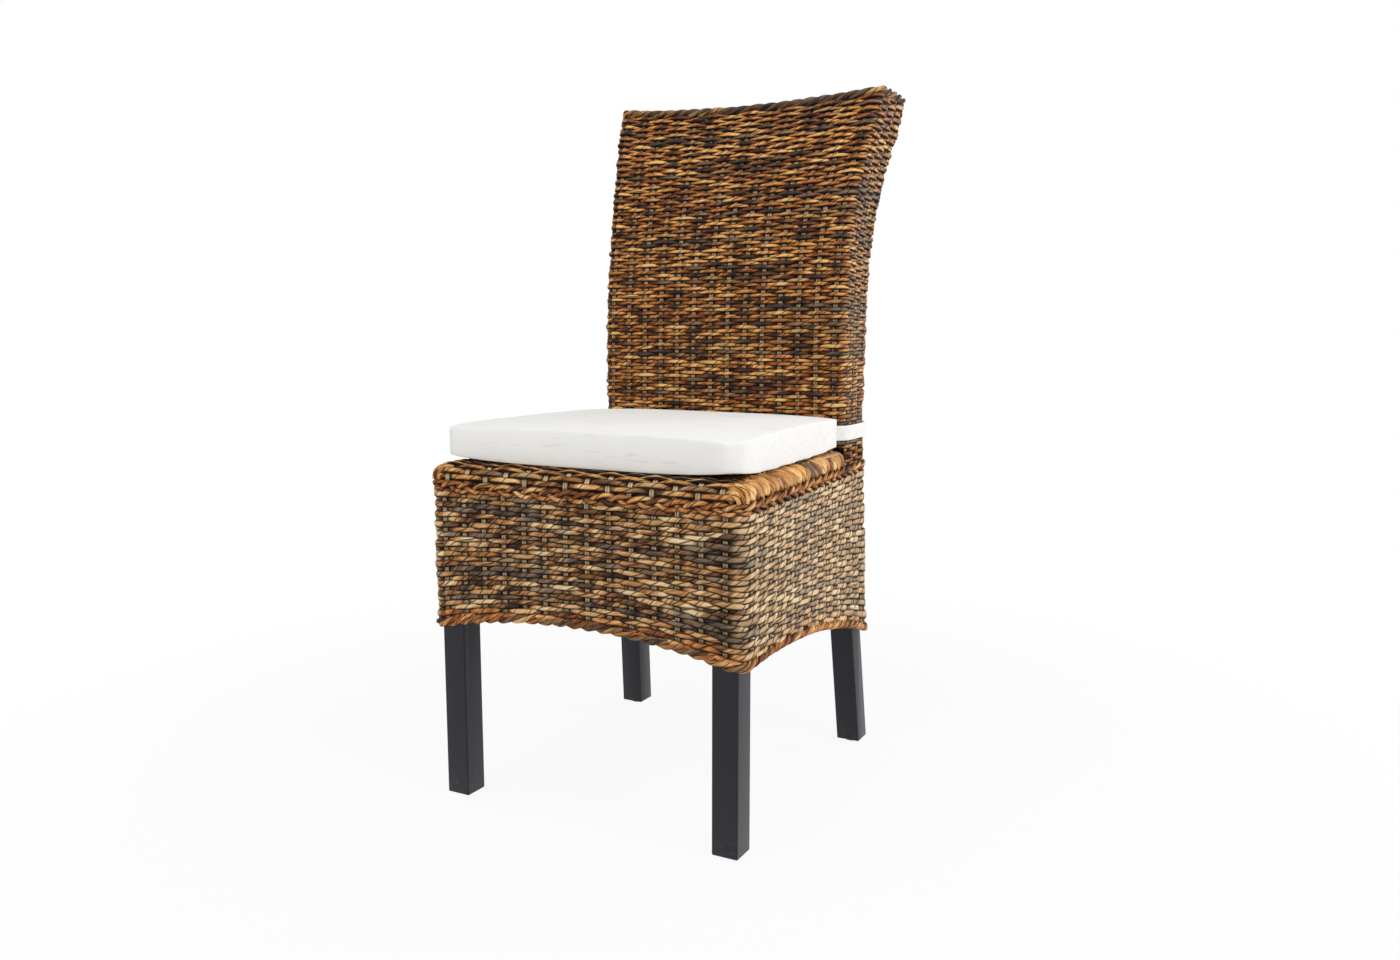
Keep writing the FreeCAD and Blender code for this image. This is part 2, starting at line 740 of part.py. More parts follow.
def border_section(width, height, outer_radius):
    """A rope's outline about its centre: its offsets, and its corner radius from inside to outside."""
    for facet in range(BORDER_FACET_COUNT):
        angle = 2 * math.pi * (facet + 0.5) / BORDER_FACET_COUNT
        share = (1 + math.cos(angle)) / 2
        radius = v.weave_clearance + (outer_radius - v.weave_clearance) * share
        yield width / 2 * math.cos(angle), height / 2 * math.sin(angle), radius


# Skirt: level rows at the seat edge that bend into the arches of the rim
def skirt_ring(level, lift, outset, radius):
    """A ring of the skirt: level 0 is its top and 1 its rim, lifted and set out from its face."""
    front_z = v.skirt_top + level * (v.rim_front_height - v.skirt_top) + lift
    rear_z = v.skirt_top + level * (v.rim_rear_height - v.skirt_top) + lift
    front_x = v.front_outer_x + outset
    rear_x = v.foot_outer_x - v.splay * rear_z + v.wrap + outset
    near, far = v.front_y - outset, v.skirt_rear_y + outset
    corners = [Vector(-front_x, near, front_z), Vector(front_x, near, front_z),
               Vector(rear_x, far, rear_z), Vector(-rear_x, far, rear_z)]
    rises = (v.front_arch_rise, v.side_arch_rise, v.rear_arch_rise, v.side_arch_rise)
    return ring(corners, radius, [Vector(0, 0, rise * level) for rise in rises], SKIRT_CHORD_COUNTS)


def skirt():
    drop = v.skirt_top - v.rim_front_height
    rows = max(3, round((drop - v.border_height) / v.skirt_row_pitch))
    rim_lift = v.border_height + v.border_gap
    outer = [skirt_ring(share, rim_lift * share, outset, v.weave_corner_radius + outset)
             for share, outset in row_rings(rows)]
    inner = [skirt_ring(level, rim_lift * level, -v.weave_thickness, v.weave_clearance) for level in (1, 0)]
    rings = outer + inner
    solid_node("skirt_weave", closed_solid(skin(rings + rings[:1])))


def skirt_border(name, level, middle):
    """A braid round the skirt, as a rope of its outer shape."""
    centre = (v.border_proud_depth - v.weave_thickness) / 2
    rings = []
    section = border_section(v.weave_thickness + v.border_proud_depth, v.border_height, v.weave_corner_radius)
    for outset, lift, radius in section:
        rings.append(skirt_ring(level, middle + lift, centre + outset, radius))
    solid_node(name, closed_solid(skin(rings + rings[:1])))


def skirt_stakes():
    """Upright strips inside the skirt, nailed over the rails between the legs."""
    stakes = []
    outer = v.weave_thickness + v.stake_clearance
    rim = v.border_height + v.border_gap

    def stake(foot, top, across, inward):
        """A strip from its foot to its top, each the middle of the strip's outer face."""
        half = across * (v.stake_width / 2)
        deep = inward * v.stake_thickness
        wires = []
        for point in (foot, top):
            wires.append(Part.makePolygon([point - half, point + half, point + half + deep,
                                           point - half + deep, point - half]))
        stakes.append(Part.makeLoft(wires, True, True))

    def spread(first, last):
        count = int((last - first) / v.skirt_stake_pitch)
        return [first + (last - first) * (index + 0.5) / count for index in range(count)]

    leg_inner = v.leg_x - v.leg_size / 2
    for x in spread(-leg_inner, leg_inner):
        arch = v.front_arch_rise * (1 - (x / v.front_outer_x) ** 2)
        y, foot = v.front_y + outer, v.rim_front_height + rim + arch
        stake(Vector(x, y, foot), Vector(x, y, v.rail_top), Vector(1, 0, 0), Vector(0, 1, 0))
    post_inner = v.foot_outer_x - v.leg_size - v.splay * v.rim_rear_height
    reach = min(post_inner, v.foot_outer_x - v.leg_size - v.splay * v.rail_top)
    for x in spread(-reach, reach):
        arch = v.rear_arch_rise * (1 - (x / v.foot_outer_x) ** 2)
        y, foot = v.skirt_rear_y - outer, v.rim_rear_height + rim + arch
        stake(Vector(x, y, foot), Vector(x, y, v.rail_top), Vector(1, 0, 0), Vector(0, -1, 0))
    run = v.skirt_rear_y - v.front_y
    for y in spread(v.side_front_y, v.side_rear_y):
        share = (y - v.front_y) / run
        arch = v.side_arch_rise * 4 * share * (1 - share)
        rim_z = v.rim_front_height + share * (v.rim_rear_height - v.rim_front_height) + rim + arch
        for sign in SIDES.values():
            tips = []
            for z in (rim_z, v.rail_top):
                rear_x = v.foot_outer_x - v.splay * z + v.wrap
                face = v.front_outer_x + share * (rear_x - v.front_outer_x) - outer
                tips.append(Vector(sign * face, y, z))
            stake(tips[0], tips[1], Vector(0, 1, 0), Vector(-sign, 0, 0))
    solid_node("skirt_stakes", Part.makeCompound(stakes))


def seat_stakes():
    """Strips that lie on the front and rear rails and carry the seat weave."""
    reach = v.foot_outer_x - v.splay * v.rail_top - v.leg_size - v.weave_clearance - v.stake_width
    count = int(2 * reach / v.seat_stake_pitch) + 1
    inset = v.weave_thickness + v.stake_clearance
    long = v.skirt_rear_y - v.front_y - 2 * inset
    strips = []
    for index in range(count):
        x = (index - (count - 1) / 2) * v.seat_stake_pitch
        corner = Vector(x - v.stake_width / 2, v.front_y + inset, v.rail_top)
        strips.append(Part.makeBox(v.stake_width, long, v.stake_thickness, corner))
    solid_node("seat_stakes", Part.makeCompound(strips))


# Back: a straight lower part, a curve above it, and ears at the top corners
def on_back(x, depth, along):
    """The point at a depth behind the front face of the back and a length along that face."""
    foot = v.bend_height - v.back_straight
    if along <= v.back_straight:
        return Vector(x, v.back_front_y + depth, foot + along)
    angle = (along - v.back_straight) / v.back_radius
    radius = v.back_radius - depth
    return Vector(x, v.arc_y - radius * math.cos(angle), v.bend_height + radius * math.sin(angle))


def ear_share(along):
    """How far the ears have grown at a length along the back, from 0 to 1."""
    reach = max(0.0, along - v.back_length + v.ear_length) / v.ear_length
    return reach * reach


def back_half(along):
    """Half the width of the back, which follows the posts and then flares into the ears."""
    height = min(v.bend_height, v.bend_height - v.back_straight + along)
    return v.foot_outer_x - v.splay * height + v.wrap + v.ear_flare_width * ear_share(along)


def climbed(along, depth):
    """The place of a row at a depth: rows climb towards the rear, so that the top of the back is level."""
    share = min(1.0, max(0.0, along - v.back_straight) / (v.back_length - v.back_straight))
    return along + v.rear_rise_length * share * share * depth / v.back_thickness


def back_ring(along, outset, radius):
    lift = v.ear_lift_height * ear_share(along)
    corners, sags = [], []
    for depth, way in ((-outset, -1), (v.back_thickness + outset, 1)):
        place = climbed(along, depth)
        half = back_half(max(along, min(place, v.back_length))) + outset
        corners += [on_back(way * half, depth, place + lift), on_back(-way * half, depth, place + lift)]
        sags += [on_back(0, depth, place) - on_back(0, depth, place + lift), Vector(0, 0, 0)]
    return ring(corners, radius, sags, BACK_CHORD_COUNTS)


def back_cap(points):
    """Faces that close a ring of the back: strips between its long sides and one at each end."""
    half = len(points) // 2
    first = CORNER_CHORD_COUNT
    last = first + BACK_CHORD_COUNTS[0]
    front, rear = points[first:last + 1], points[half + first:half + last + 1]
    faces = strip(front, rear[::-1])
    for start in (last, half + last):
        end = [(points + points)[start + step] for step in range(half - BACK_CHORD_COUNTS[0] + 1)]
        faces.append(Part.Face(Part.makePolygon(end + end[:1])))
    return faces


def back_weave():
    rows = max(3, round(v.back_length / v.back_row_pitch))
    outer = [back_ring(v.back_length * share, outset, v.weave_corner_radius + outset)
             for share, outset in row_rings(rows)]
    inner_length = v.back_length - v.weave_thickness
    curve = inner_length - v.back_straight
    steps = range(CURVE_STEP_COUNT + 1)
    places = [0.0] + [v.back_straight + curve * step / CURVE_STEP_COUNT for step in steps]
    inner = [back_ring(along, -v.weave_thickness, v.weave_clearance) for along in places]
    faces = skin(outer) + skin(inner) + skin([outer[0], inner[0]])
    solid_node("back_weave", closed_solid(faces + back_cap(outer[-1]) + back_cap(inner[-1])))


def back_top_border():
    """The rope that closes the weave along the top edge of the back."""
    centre = -v.rib_depth - v.weave_thickness / 2
    along = v.back_length + v.border_gap + v.top_border_height / 2
    rings = []
    for outset, lift, radius in border_section(v.weave_thickness, v.top_border_height, v.weave_corner_radius):
        rings.append(back_ring(along + lift, centre + outset, radius))
    solid_node("back_top_border", closed_solid(skin(rings + rings[:1])))


def back_stakes(name, depth, top):
    """Strips that follow the back from the seat up to a place, at a depth behind its front face."""
    curve = top - v.back_straight
    places = [v.back_straight + curve * step / CURVE_STEP_COUNT for step in range(CURVE_STEP_COUNT + 1)]
    near = [on_back(0, depth, place) for place in [v.stake_clearance] + places]
    far = [on_back(0, depth + v.stake_thickness, place) for place in [v.stake_clearance] + places]
    face = Part.Face(Part.makePolygon(near + far[::-1] + near[:1]))
    reach = v.stile_outer_x - v.leg_size - v.stake_width
    count = 2 * int(reach / v.back_stake_pitch)
    strips = []
    for index in range(count):
        x = (index - (count - 1) / 2) * v.back_stake_pitch - v.stake_width / 2
        strip = face.extrude(Vector(v.stake_width, 0, 0))
        strip.translate(Vector(x, 0, 0))
        strips.append(strip)
    solid_node(name, Part.makeCompound(strips))


# Cushion cover: crowned on top, rounded along its edges and drawn in along its sides
def cushion_ring(inset, size, height):
    """A level ring of the cover, drawn in by an inset and shrunk about the cushion's middle."""
    deep = (v.cushion_half_depth - inset) * size
    front_x = (v.cushion_front_width / 2 - inset) * size
    rear_x = (v.cushion_rear_width / 2 - inset) * size
    near, far = v.cushion_y - deep, v.cushion_y + deep
    corners = [Vector(-front_x, near, height), Vector(front_x, near, height),
               Vector(rear_x, far, height), Vector(-rear_x, far, height)]
    draw = v.cushion_draw_depth * size
    shifts = [Vector(0, draw, 0), Vector(-draw, 0, 0), Vector(0, -draw, 0), Vector(draw, 0, 0)]
    radius = (v.cushion_corner_radius - inset) * size
    return ring(corners, radius, shifts, CUSHION_CHORD_COUNTS, CUSHION_CORNER_CHORD_COUNT)


def cushion_cover():
    radius = v.cushion_edge_radius
    low, high = v.cushion_bottom + radius, v.cushion_top - radius
    quarter = [math.pi / 2 * step / EDGE_STEP_COUNT for step in range(EDGE_STEP_COUNT + 1)]

    def edge_ring(level, way, angle):
        """A ring of a rounded edge, from flat at angle 0 to the side of the cushion at a right angle."""
        return cushion_ring(radius * (1 - math.sin(angle)), 1, level + way * radius * math.cos(angle))

    rings = [edge_ring(low, -1, angle) for angle in quarter]
    rings += [edge_ring(high, 1, angle) for angle in reversed(quarter)]
    for size in CROWN_SIZE_SHARES:
        rise = v.cushion_crown_height * (1 - size ** 2) / (1 - CROWN_SIZE_SHARES[-1] ** 2)
        rings.append(cushion_ring(radius, size, v.cushion_top + rise))
    caps = [Part.Face(Part.makePolygon(end + end[:1])) for end in (rings[0], rings[-1])]
    form = doc.addObject("Part::Feature", "cushion_form")
    form.Shape = closed_solid(skin(rings) + caps)
    form.Placement = Placement()
    keep("cushion_cover", cut("cushion_cover", form, [cushion_room]))


# Straps: sewn to the rear of the cushion, round the sides of the back and closed behind it
def strap_path(out):
    """Edges in plan from the sewn end to the rear end, at a distance out from the weave."""
    half = v.foot_outer_x - v.splay * v.strap_bottom + v.wrap + out
    near, far = v.back_front_y - out, v.back_front_y + v.back_thickness + out
    radius = v.weave_corner_radius + out
    turn = radius * math.sqrt(0.5)
    inside = half - radius
    sewn = v.foot_outer_x - v.strap_sewn_length - v.weave_corner_radius

    def at(x, y):
        return Vector(x, y, v.strap_bottom)

    front_bend = at(inside + turn, near + radius - turn)
    rear_bend = at(inside + turn, far - radius + turn)
    return [
        Part.makeLine(at(sewn, near), at(inside, near)),
        Part.Arc(at(inside, near), front_bend, at(half, near + radius)).toShape(),
        Part.makeLine(at(half, near + radius), at(half, far - radius)),
        Part.Arc(at(half, far - radius), rear_bend, at(inside, far)).toShape(),
        Part.makeLine(at(inside, far), at(v.strap_end_gap, far)),
    ]


def straps():
    inner, outer = strap_path(v.strap_gap), strap_path(v.strap_gap + v.strap_thickness)
    ends = [Part.makeLine(outer[-1].lastVertex(True).Point, inner[-1].lastVertex(True).Point),
            Part.makeLine(outer[0].firstVertex(True).Point, inner[0].firstVertex(True).Point)]
    plan = Part.Face(Part.Wire(Part.__sortEdges__(inner + outer + ends)))
    band = plan.extrude(Vector(0, 0, v.strap_width))
    solid_node("strap_left", band)
    solid_node("strap_right", band.mirror(Vector(0, 0, 0), Vector(1, 0, 0)))
    rear = v.back_front_y + v.back_thickness + v.strap_gap + v.strap_thickness
    corner = Vector(-v.fastener_length / 2, rear, v.strap_bottom)
    solid_node("strap_fastener", Part.makeBox(v.fastener_length, v.fastener_thickness, v.strap_width, corner))


skirt()
skirt_border("seat_edge_border", 0, v.border_gap + v.border_height / 2)
skirt_border("rim_border", 1, v.border_height / 2)
skirt_stakes()
seat_stakes()
back_weave()
back_top_border()
stake_inset = v.weave_thickness + v.stake_clearance
rear_stake_depth = v.back_thickness - stake_inset - v.stake_thickness
back_stakes("back_stakes_front", stake_inset, v.crest_top)
back_stakes("back_stakes_rear", rear_stake_depth, climbed(v.crest_top, rear_stake_depth) - v.stake_thickness)
cushion_cover()
straps()

# Every piece is sound before any is written
doc.recompute()
for item in doc.Objects:
    if "Invalid" in item.State or "Error" in item.State:
        raise RuntimeError(f"{item.Label} failed: {item.State}")
for item in nodes:
    if item.Shape.isNull() or not item.Shape.isValid():
        raise RuntimeError(f"{item.Label} has no sound shape")
os.makedirs("parts", exist_ok=True)
for item in nodes:
    item.Shape.exportStep(f"parts/{item.Label}.step")
    print(f"{item.Label}: {len(item.Shape.Solids)} solids, {item.Shape.Volume / 1000:.1f} cm3")
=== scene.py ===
import bpy
import math
import numpy as np
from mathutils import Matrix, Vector


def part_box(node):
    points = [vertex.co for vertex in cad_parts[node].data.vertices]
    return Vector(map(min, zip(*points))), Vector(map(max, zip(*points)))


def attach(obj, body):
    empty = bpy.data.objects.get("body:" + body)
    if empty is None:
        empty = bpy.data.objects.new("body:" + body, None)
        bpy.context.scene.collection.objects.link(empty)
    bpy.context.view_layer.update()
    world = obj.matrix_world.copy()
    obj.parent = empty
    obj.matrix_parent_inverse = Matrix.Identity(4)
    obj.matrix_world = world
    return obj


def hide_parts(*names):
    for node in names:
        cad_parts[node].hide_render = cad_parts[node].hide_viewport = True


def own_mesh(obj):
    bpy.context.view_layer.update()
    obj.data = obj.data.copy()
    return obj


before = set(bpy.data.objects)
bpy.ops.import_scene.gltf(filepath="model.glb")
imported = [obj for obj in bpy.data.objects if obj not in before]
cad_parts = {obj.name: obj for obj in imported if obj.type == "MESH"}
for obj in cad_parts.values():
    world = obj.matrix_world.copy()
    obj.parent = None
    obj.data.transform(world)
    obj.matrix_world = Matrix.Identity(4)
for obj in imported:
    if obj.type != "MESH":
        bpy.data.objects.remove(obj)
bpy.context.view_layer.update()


# Legs and posts: square hardwood, stained black under a thin satin lacquer. Each rear leg is sawn in
# one piece with the stile of the back. All edges are eased, and the feet are a little scuffed.
EASED_EDGE, WELD_GAP = 0.0018, 0.00001
FLAT_ANGLE, SHARP_ANGLE, SMOOTH_ANGLE = math.radians(0.5), math.radians(50), math.radians(35)
SCUFF_LOW, SCUFF_HIGH = 0.004, 0.055
LEG_BLACK, LEG_WORN, LEG_DUST, LEG_GLOSS = "#08080c", "#101014", "#2c2c2d", "#eff0ff"


class Field:
    """An output of a shader node. Sums and products of fields add Math nodes to their material."""

    def __init__(self, tree, socket):
        self.tree, self.socket = tree, socket

    def node(self, kind, settings=(), values=(), output=0):
        """Add a node: its settings are set first, then its sockets are given numbers or links."""
        made = self.tree.nodes.new("ShaderNode" + kind)
        for key, setting in dict(settings).items():
            if key == "stops":
                set_stops(made.color_ramp, setting)
            else:
                setattr(made, key, setting)
        for key, given in dict(values).items():
            if isinstance(given, Field):
                self.tree.links.new(given.socket, made.inputs[key])
            else:
                made.inputs[key].default_value = given
        return Field(self.tree, made.outputs[output])

    def maths(self, operation, first, second=0.0):
        return self.node("Math", {"operation": operation}, {0: first, 1: second})

    def __add__(self, other):
        return self.maths("ADD", self, other)

    def __sub__(self, other):
        return self.maths("SUBTRACT", self, other)

    def __rsub__(self, other):
        return self.maths("SUBTRACT", other, self)

    def __mul__(self, other):
        return self.maths("MULTIPLY", self, other)

    __radd__, __rmul__ = __add__, __mul__

    def part(self, name):
        """The X, Y or Z of a vector."""
        return self.node("SeparateXYZ", (), {0: self}, name)

    def joined(self, x, y, z=0.0):
        return self.node("CombineXYZ", (), {0: x, 1: y, 2: z})

    def scaled(self, x, y, z):
        return self.node("VectorMath", {"operation": "MULTIPLY"}, {0: self, 1: (x, y, z)})

    def noise(self, scale, detail=2.0, roughness=0.5):
        values = {"Vector": self, "Scale": scale, "Detail": detail, "Roughness": roughness}
        return self.node("TexNoise", (), values)

    def between(self, low, high):
        """A smooth step from 0 at the low value to 1 at the high one."""
        values = {"Value": self, "From Min": low, "From Max": high}
        return self.node("MapRange", {"interpolation_type": "SMOOTHSTEP"}, values)

    def ramp(self, *stops):
        return self.node("ValToRGB", {"stops": stops}, {0: self})

    def blended(self, first, second):
        """Mix two colours by this field."""
        return self.node("Mix", {"data_type": "RGBA"}, {0: self, 6: first, 7: second}, 2)

    def bump(self, strength, distance):
        return self.node("Bump", (), {"Height": self, "Strength": strength, "Distance": distance})


def colour(code):
    """A colour written as red, green and blue in hexadecimal, as linear light."""
    shares = [int(code[place:place + 2], 16) / 255 for place in (1, 3, 5)]
    linear = [share / 12.92 if share < 0.04045 else ((share + 0.055) / 1.055) ** 2.4 for share in shares]
    return (*linear, 1.0)


def set_stops(ramp, stops):
    """Give a colour ramp its stops, each a place and a colour."""
    while len(ramp.elements) < len(stops):
        ramp.elements.new(1.0)
    for element, (place, code) in zip(ramp.elements, stops):
        element.position = place
        element.color = colour(code)


class Finish:
    """A material with one Principled shader. Its constants are set on the shader's own sockets."""

    def __init__(self, name, constants=()):
        self.material = bpy.data.materials.new(name)
        self.material.use_nodes = True
        self.tree = self.material.node_tree
        self.shader = self.tree.nodes["Principled BSDF"]
        for socket, number in dict(constants).items():
            self.shader.inputs[socket].default_value = number

    def place(self, output="Object"):
        """Coordinates on the piece: its own space, or the strand map of woven pieces."""
        made = self.tree.nodes.new("ShaderNodeTexCoord")
        return Field(self.tree, made.outputs[output])

    def painted(self, name):
        """A number stored at the vertices of the piece."""
        made = self.tree.nodes.new("ShaderNodeAttribute")
        made.attribute_name = name
        return Field(self.tree, made.outputs["Fac"])

    def feed(self, **fields):
        """Link fields to the shader's sockets of the same names."""
        for socket, field in fields.items():
            self.tree.links.new(field.socket, self.shader.inputs[socket.replace("_", " ").title()])
        return self.material


def lacquered_black():
    """Black stain with faint grain under satin lacquer, and dusty scuffs near the floor."""
    finish = Finish("lacquered_black", {"Specular IOR Level": 0.37, "Sheen Weight": 0.06})
    finish.shader.inputs["Specular Tint"].default_value = colour(LEG_GLOSS)
    place = finish.place()
    grain = place.scaled(1, 1, 0.045).noise(420, 3, 0.6)
    cloud = place.scaled(1, 1, 0.4).noise(9, 3)
    height = place.part("Z")
    scuff = (1 - height.between(SCUFF_LOW, SCUFF_HIGH)) * place.noise(130, 4, 0.65).between(0.5, 0.7)
    stain = cloud.between(0.3, 0.75).blended(colour(LEG_BLACK), colour(LEG_WORN))
    stain = scuff.blended(stain, colour(LEG_DUST))
    return finish.feed(base_color=stain, roughness=0.3 + 0.08 * cloud + 0.1 * grain,
                       normal=(grain * 0.6 + cloud * 0.4).bump(0.22, 0.0006))


def activate(piece):
    """Make a piece the only one that is selected."""
    bpy.ops.object.select_all(action="DESELECT")
    piece.select_set(True)
    bpy.context.view_layer.objects.active = piece


def placed(name, mesh):
    """An object for a mesh, in the scene."""
    piece = bpy.data.objects.new(name, mesh)
    bpy.context.collection.objects.link(piece)
    return piece


def modified(piece, kind, **settings):
    """Apply a modifier to the piece that is selected."""
    modifier = piece.modifiers.new(kind.lower(), kind)
    for name, setting in settings.items():
        setattr(modifier, name, setting)
    bpy.ops.object.modifier_apply(modifier=modifier.name)


def eased_copy(node):
    """A copy of a sawn piece with its sharp edges eased."""
    piece = placed(node + "_eased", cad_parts[node].data.copy())
    activate(piece)
    bpy.ops.object.mode_set(mode="EDIT")
    bpy.ops.mesh.select_all(action="SELECT")
    bpy.ops.mesh.remove_doubles(threshold=WELD_GAP)
    bpy.ops.mesh.dissolve_limited(angle_limit=FLAT_ANGLE)
    bpy.ops.object.mode_set(mode="OBJECT")
    modified(piece, "BEVEL", width=EASED_EDGE, segments=2, limit_method="ANGLE", angle_limit=SHARP_ANGLE)
    bpy.ops.object.shade_smooth_by_angle(angle=SMOOTH_ANGLE)
    piece.data.materials.clear()
    return piece


lacquer = lacquered_black()
for name in ("front_leg_left", "front_leg_right", "rear_post_left", "rear_post_right"):
    leg = eased_copy(name)
    leg.data.materials.append(lacquer)
    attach(leg, "chair")
    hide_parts(name)


# Rails, braces and blocks: sawn hardwood that the weave hides, left bare with the marks of the saw.
# They are glued and tenoned into the legs and posts.
RAIL_DARK, RAIL_LIGHT = "#7d5a38", "#b08a5c"
HIDDEN_WOOD = ("front_seat_rail", "rear_seat_rail", "left_seat_rail", "right_seat_rail", "seat_braces",
               "corner_blocks", "back_lower_rail", "back_middle_rail", "back_crest_rail")


def sawn_wood():
    """Bare brown hardwood with long grain and fine saw marks."""
    finish = Finish("sawn_wood")
    place = finish.place()
    grain = place.scaled(1, 9, 9).noise(14, 4, 0.6)
    saw = place.scaled(1, 0.15, 0.15).noise(260, 2)
    tint = grain.between(0.3, 0.7).blended(colour(RAIL_DARK), colour(RAIL_LIGHT))
    return finish.feed(base_color=tint, roughness=0.62 + 0.2 * saw,
                       normal=(saw * 0.5 + grain).bump(0.3, 0.001))


def dress(names, material):
    """Give pieces of the construction model their finish."""
    for name in names:
        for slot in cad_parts[name].material_slots:
            slot.material = material


dress(HIDDEN_WOOD, sawn_wood())


# Glides: flat buttons of pressed steel under the four feet, each tacked into the end of its leg. The
# floor has rubbed their edges bright.
STEEL_DARK, STEEL_BRIGHT = "#4c4b4a", "#8d8b88"


def rubbed_steel():
    """Dark steel with brighter worn spots."""
    finish = Finish("rubbed_steel", {"Metallic": 1.0})
    place = finish.place()
    wear = place.scaled(1, 1, 3).noise(190, 4, 0.7)
    tint = wear.between(0.35, 0.65).blended(colour(STEEL_DARK), colour(STEEL_BRIGHT))
    return finish.feed(base_color=tint, roughness=0.3 + 0.3 * wear, normal=wear.bump(0.2, 0.0004))


dress(("foot_glides",), rubbed_steel())


# Skirt stakes: pairs of thin pale rattan rods that stand in the wall of the skirt. They are nailed to
# the rails at the top and held by the rim at the bottom, and the rows pass them in front and behind.
FRONT_Y, REAR_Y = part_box("skirt_weave")[0].y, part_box("skirt_weave")[1].y
FRONT_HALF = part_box("skirt_weave")[1].x
SEAT_EDGE, SEAT_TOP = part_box("seat_weave")[0].z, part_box("seat_weave")[1].z
FLOOR_HALF, SPLAY = 0.2274, 0.0363
SKIRT_TOP, RIM_FRONT, RIM_REAR = 0.4322, 0.241, 0.176
FRONT_RISE, SIDE_RISE, REAR_RISE = 0.028, 0.025, 0.030
WALL_MIDDLE = 0.005
CORNER_RADIUS, CORNER_REACH, CORNER_POINTS = 0.016, 0.024, 9
SKIRT_STAKES = (14, 15, 14, 15)
SKIRT_MARGINS = (0.018, 0.024, 0.018, 0.024)
ROD_RADIUS, ROD_SIDES, ROD_GAP, ROD_POINTS = 0.0016, 6, 0.0034, 4
# The stakes' ends are levels, where 0 is the top of the skirt and 1 its rim. A step aside is counted
# in stakes.
STAKE_HEAD, STAKE_FOOT, STAKE_ASIDE = -0.06, 0.98, 0.1
RATTAN_DARK, RATTAN_MIDDLE, RATTAN_PALE = "#8f7350", "#c2a780", "#dccbab"
STRAND_STEPS = 8
MAP_MARGIN = 0.02
MAP_SHARE = 1 - 2 * MAP_MARGIN
UP = np.array((0.0, 0.0, 1.0))
chance = np.random.default_rng(7)


def unit(vectors):
    return vectors / np.linalg.norm(vectors, axis=-1, keepdims=True)


def lengths_along(points):
    """The length along a line at each of its points."""
    return np.concatenate([[0.0], np.cumsum(np.linalg.norm(np.diff(points, axis=0), axis=1))])


class Strand:
    """A strand's middle line with the ways out of the wall and up it, and its two half sizes."""

    def __init__(self, line, rise, thick, wide, closed=False):
        ahead = np.roll(line, -1, axis=0) - np.roll(line, 1, axis=0)
        if not closed:
            ahead[0], ahead[-1] = line[1] - line[0], line[-1] - line[-2]
        ahead = unit(ahead)
        self.line, self.closed = line, closed
        self.out = unit(np.cross(ahead, rise))
        self.rise = np.cross(self.out, ahead)
        self.thick, self.wide = thick * np.ones(len(line)), wide * np.ones(len(line))
        # The first mark is 1 in front of a stake and 0 behind it; the second says how much painted light
        # falls on the sides.
        self.over, self.side_lit = np.ones(len(line)), np.zeros(len(line))

    def paces(self):
        """Length along the middle line at each of its points, with the whole length last."""
        return lengths_along(np.vstack([self.line, self.line[:1]]) if self.closed else self.line)

    def shifted(self, out, rise=0.0):
        """Move the line out of the wall and up it."""
        self.line = self.line + self.out * np.reshape(out, (-1, 1)) + self.rise * np.reshape(rise, (-1, 1))
        return self


def lay_strands(name, strands, sides, lay=0.0, ply_depth=0.0):
    """One mesh of many strands. Two plies turn once in each length of lay. The strand map holds the
    length along a strand, and its number plus the share gone round it."""
    vertices, faces, strand_map = [], [], []
    angles = math.pi + 2 * math.pi * np.arange(sides) / sides
    around = np.arange(sides)
    for number, strand in enumerate(strands):
        count, paces = len(strand.line), strand.paces()
        turns = paces / lay if lay else paces * 0.0
        if lay and strand.closed:
            turns *= round(2 * turns[-1]) / 2 / turns[-1]
        # Rings of points round the middle line
        ply = 1 + ply_depth * np.cos(2 * (angles - 2 * math.pi * turns[:count, None]))
        offsets = (strand.out[:, None] * (strand.thick[:, None] * np.cos(angles) * ply)[..., None]
                   + strand.rise[:, None] * (strand.wide[:, None] * np.sin(angles) * ply)[..., None])
        start = sum(map(len, vertices))
        vertices.append((strand.line[:, None] + offsets).reshape(-1, 3))
        # Faces between one ring and the next
        spans = np.arange(count if strand.closed else count - 1)[:, None]
        here, ahead, beside = spans * sides, (spans + 1) % count * sides, (around + 1) % sides
        corners = [here + around, here + beside, ahead + beside, ahead + around]
        faces += (start + np.stack(corners, axis=-1).reshape(-1, 4)).tolist()
        # The strand map of those faces
        length = turns * lay if lay else paces
        low = np.broadcast_to(length[spans], corners[0].shape)
        high = np.broadcast_to(length[spans + 1], corners[0].shape)
        near = np.broadcast_to(number + MAP_MARGIN + MAP_SHARE * around / sides, corners[0].shape)
        far = near + MAP_SHARE / sides
        pairs = [np.stack(pair, axis=-1) for pair in ((low, near), (low, far), (high, far), (high, near))]
        strand_map.append(np.stack(pairs, axis=-2).reshape(-1, 2))
        # Flat ends of an open strand
        if not strand.closed:
            last = start + (count - 1) * sides
            faces += [(start + around[::-1]).tolist(), (last + around).tolist()]
            strand_map += [np.full((sides, 2), (end, number + 0.5)) for end in (0.0, length[-1])]
    mesh = bpy.data.meshes.new(name)
    mesh.from_pydata(np.concatenate(vertices).tolist(), [], faces)
    mesh.uv_layers.new(name="strand").uv.foreach_set("vector", np.concatenate(strand_map).ravel())
    # Both marks are stored for the material: where a strand is in front of a stake, and where the sides get
    # painted light.
    for paint in ("over", "side_lit"):
        values = np.concatenate([np.repeat(getattr(strand, paint), sides) for strand in strands])
        mesh.attributes.new(paint, "FLOAT", "POINT").data.foreach_set("value", values.astype(np.float32))
    mesh.shade_smooth()
    return placed(name, mesh)


def fitted(piece, material, slot, *nodes):
    """Give a piece of the chair its finish, and the place of the nodes that it stands for."""
    piece.data.materials.append(material)
    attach(piece, "chair")
    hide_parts(*nodes)


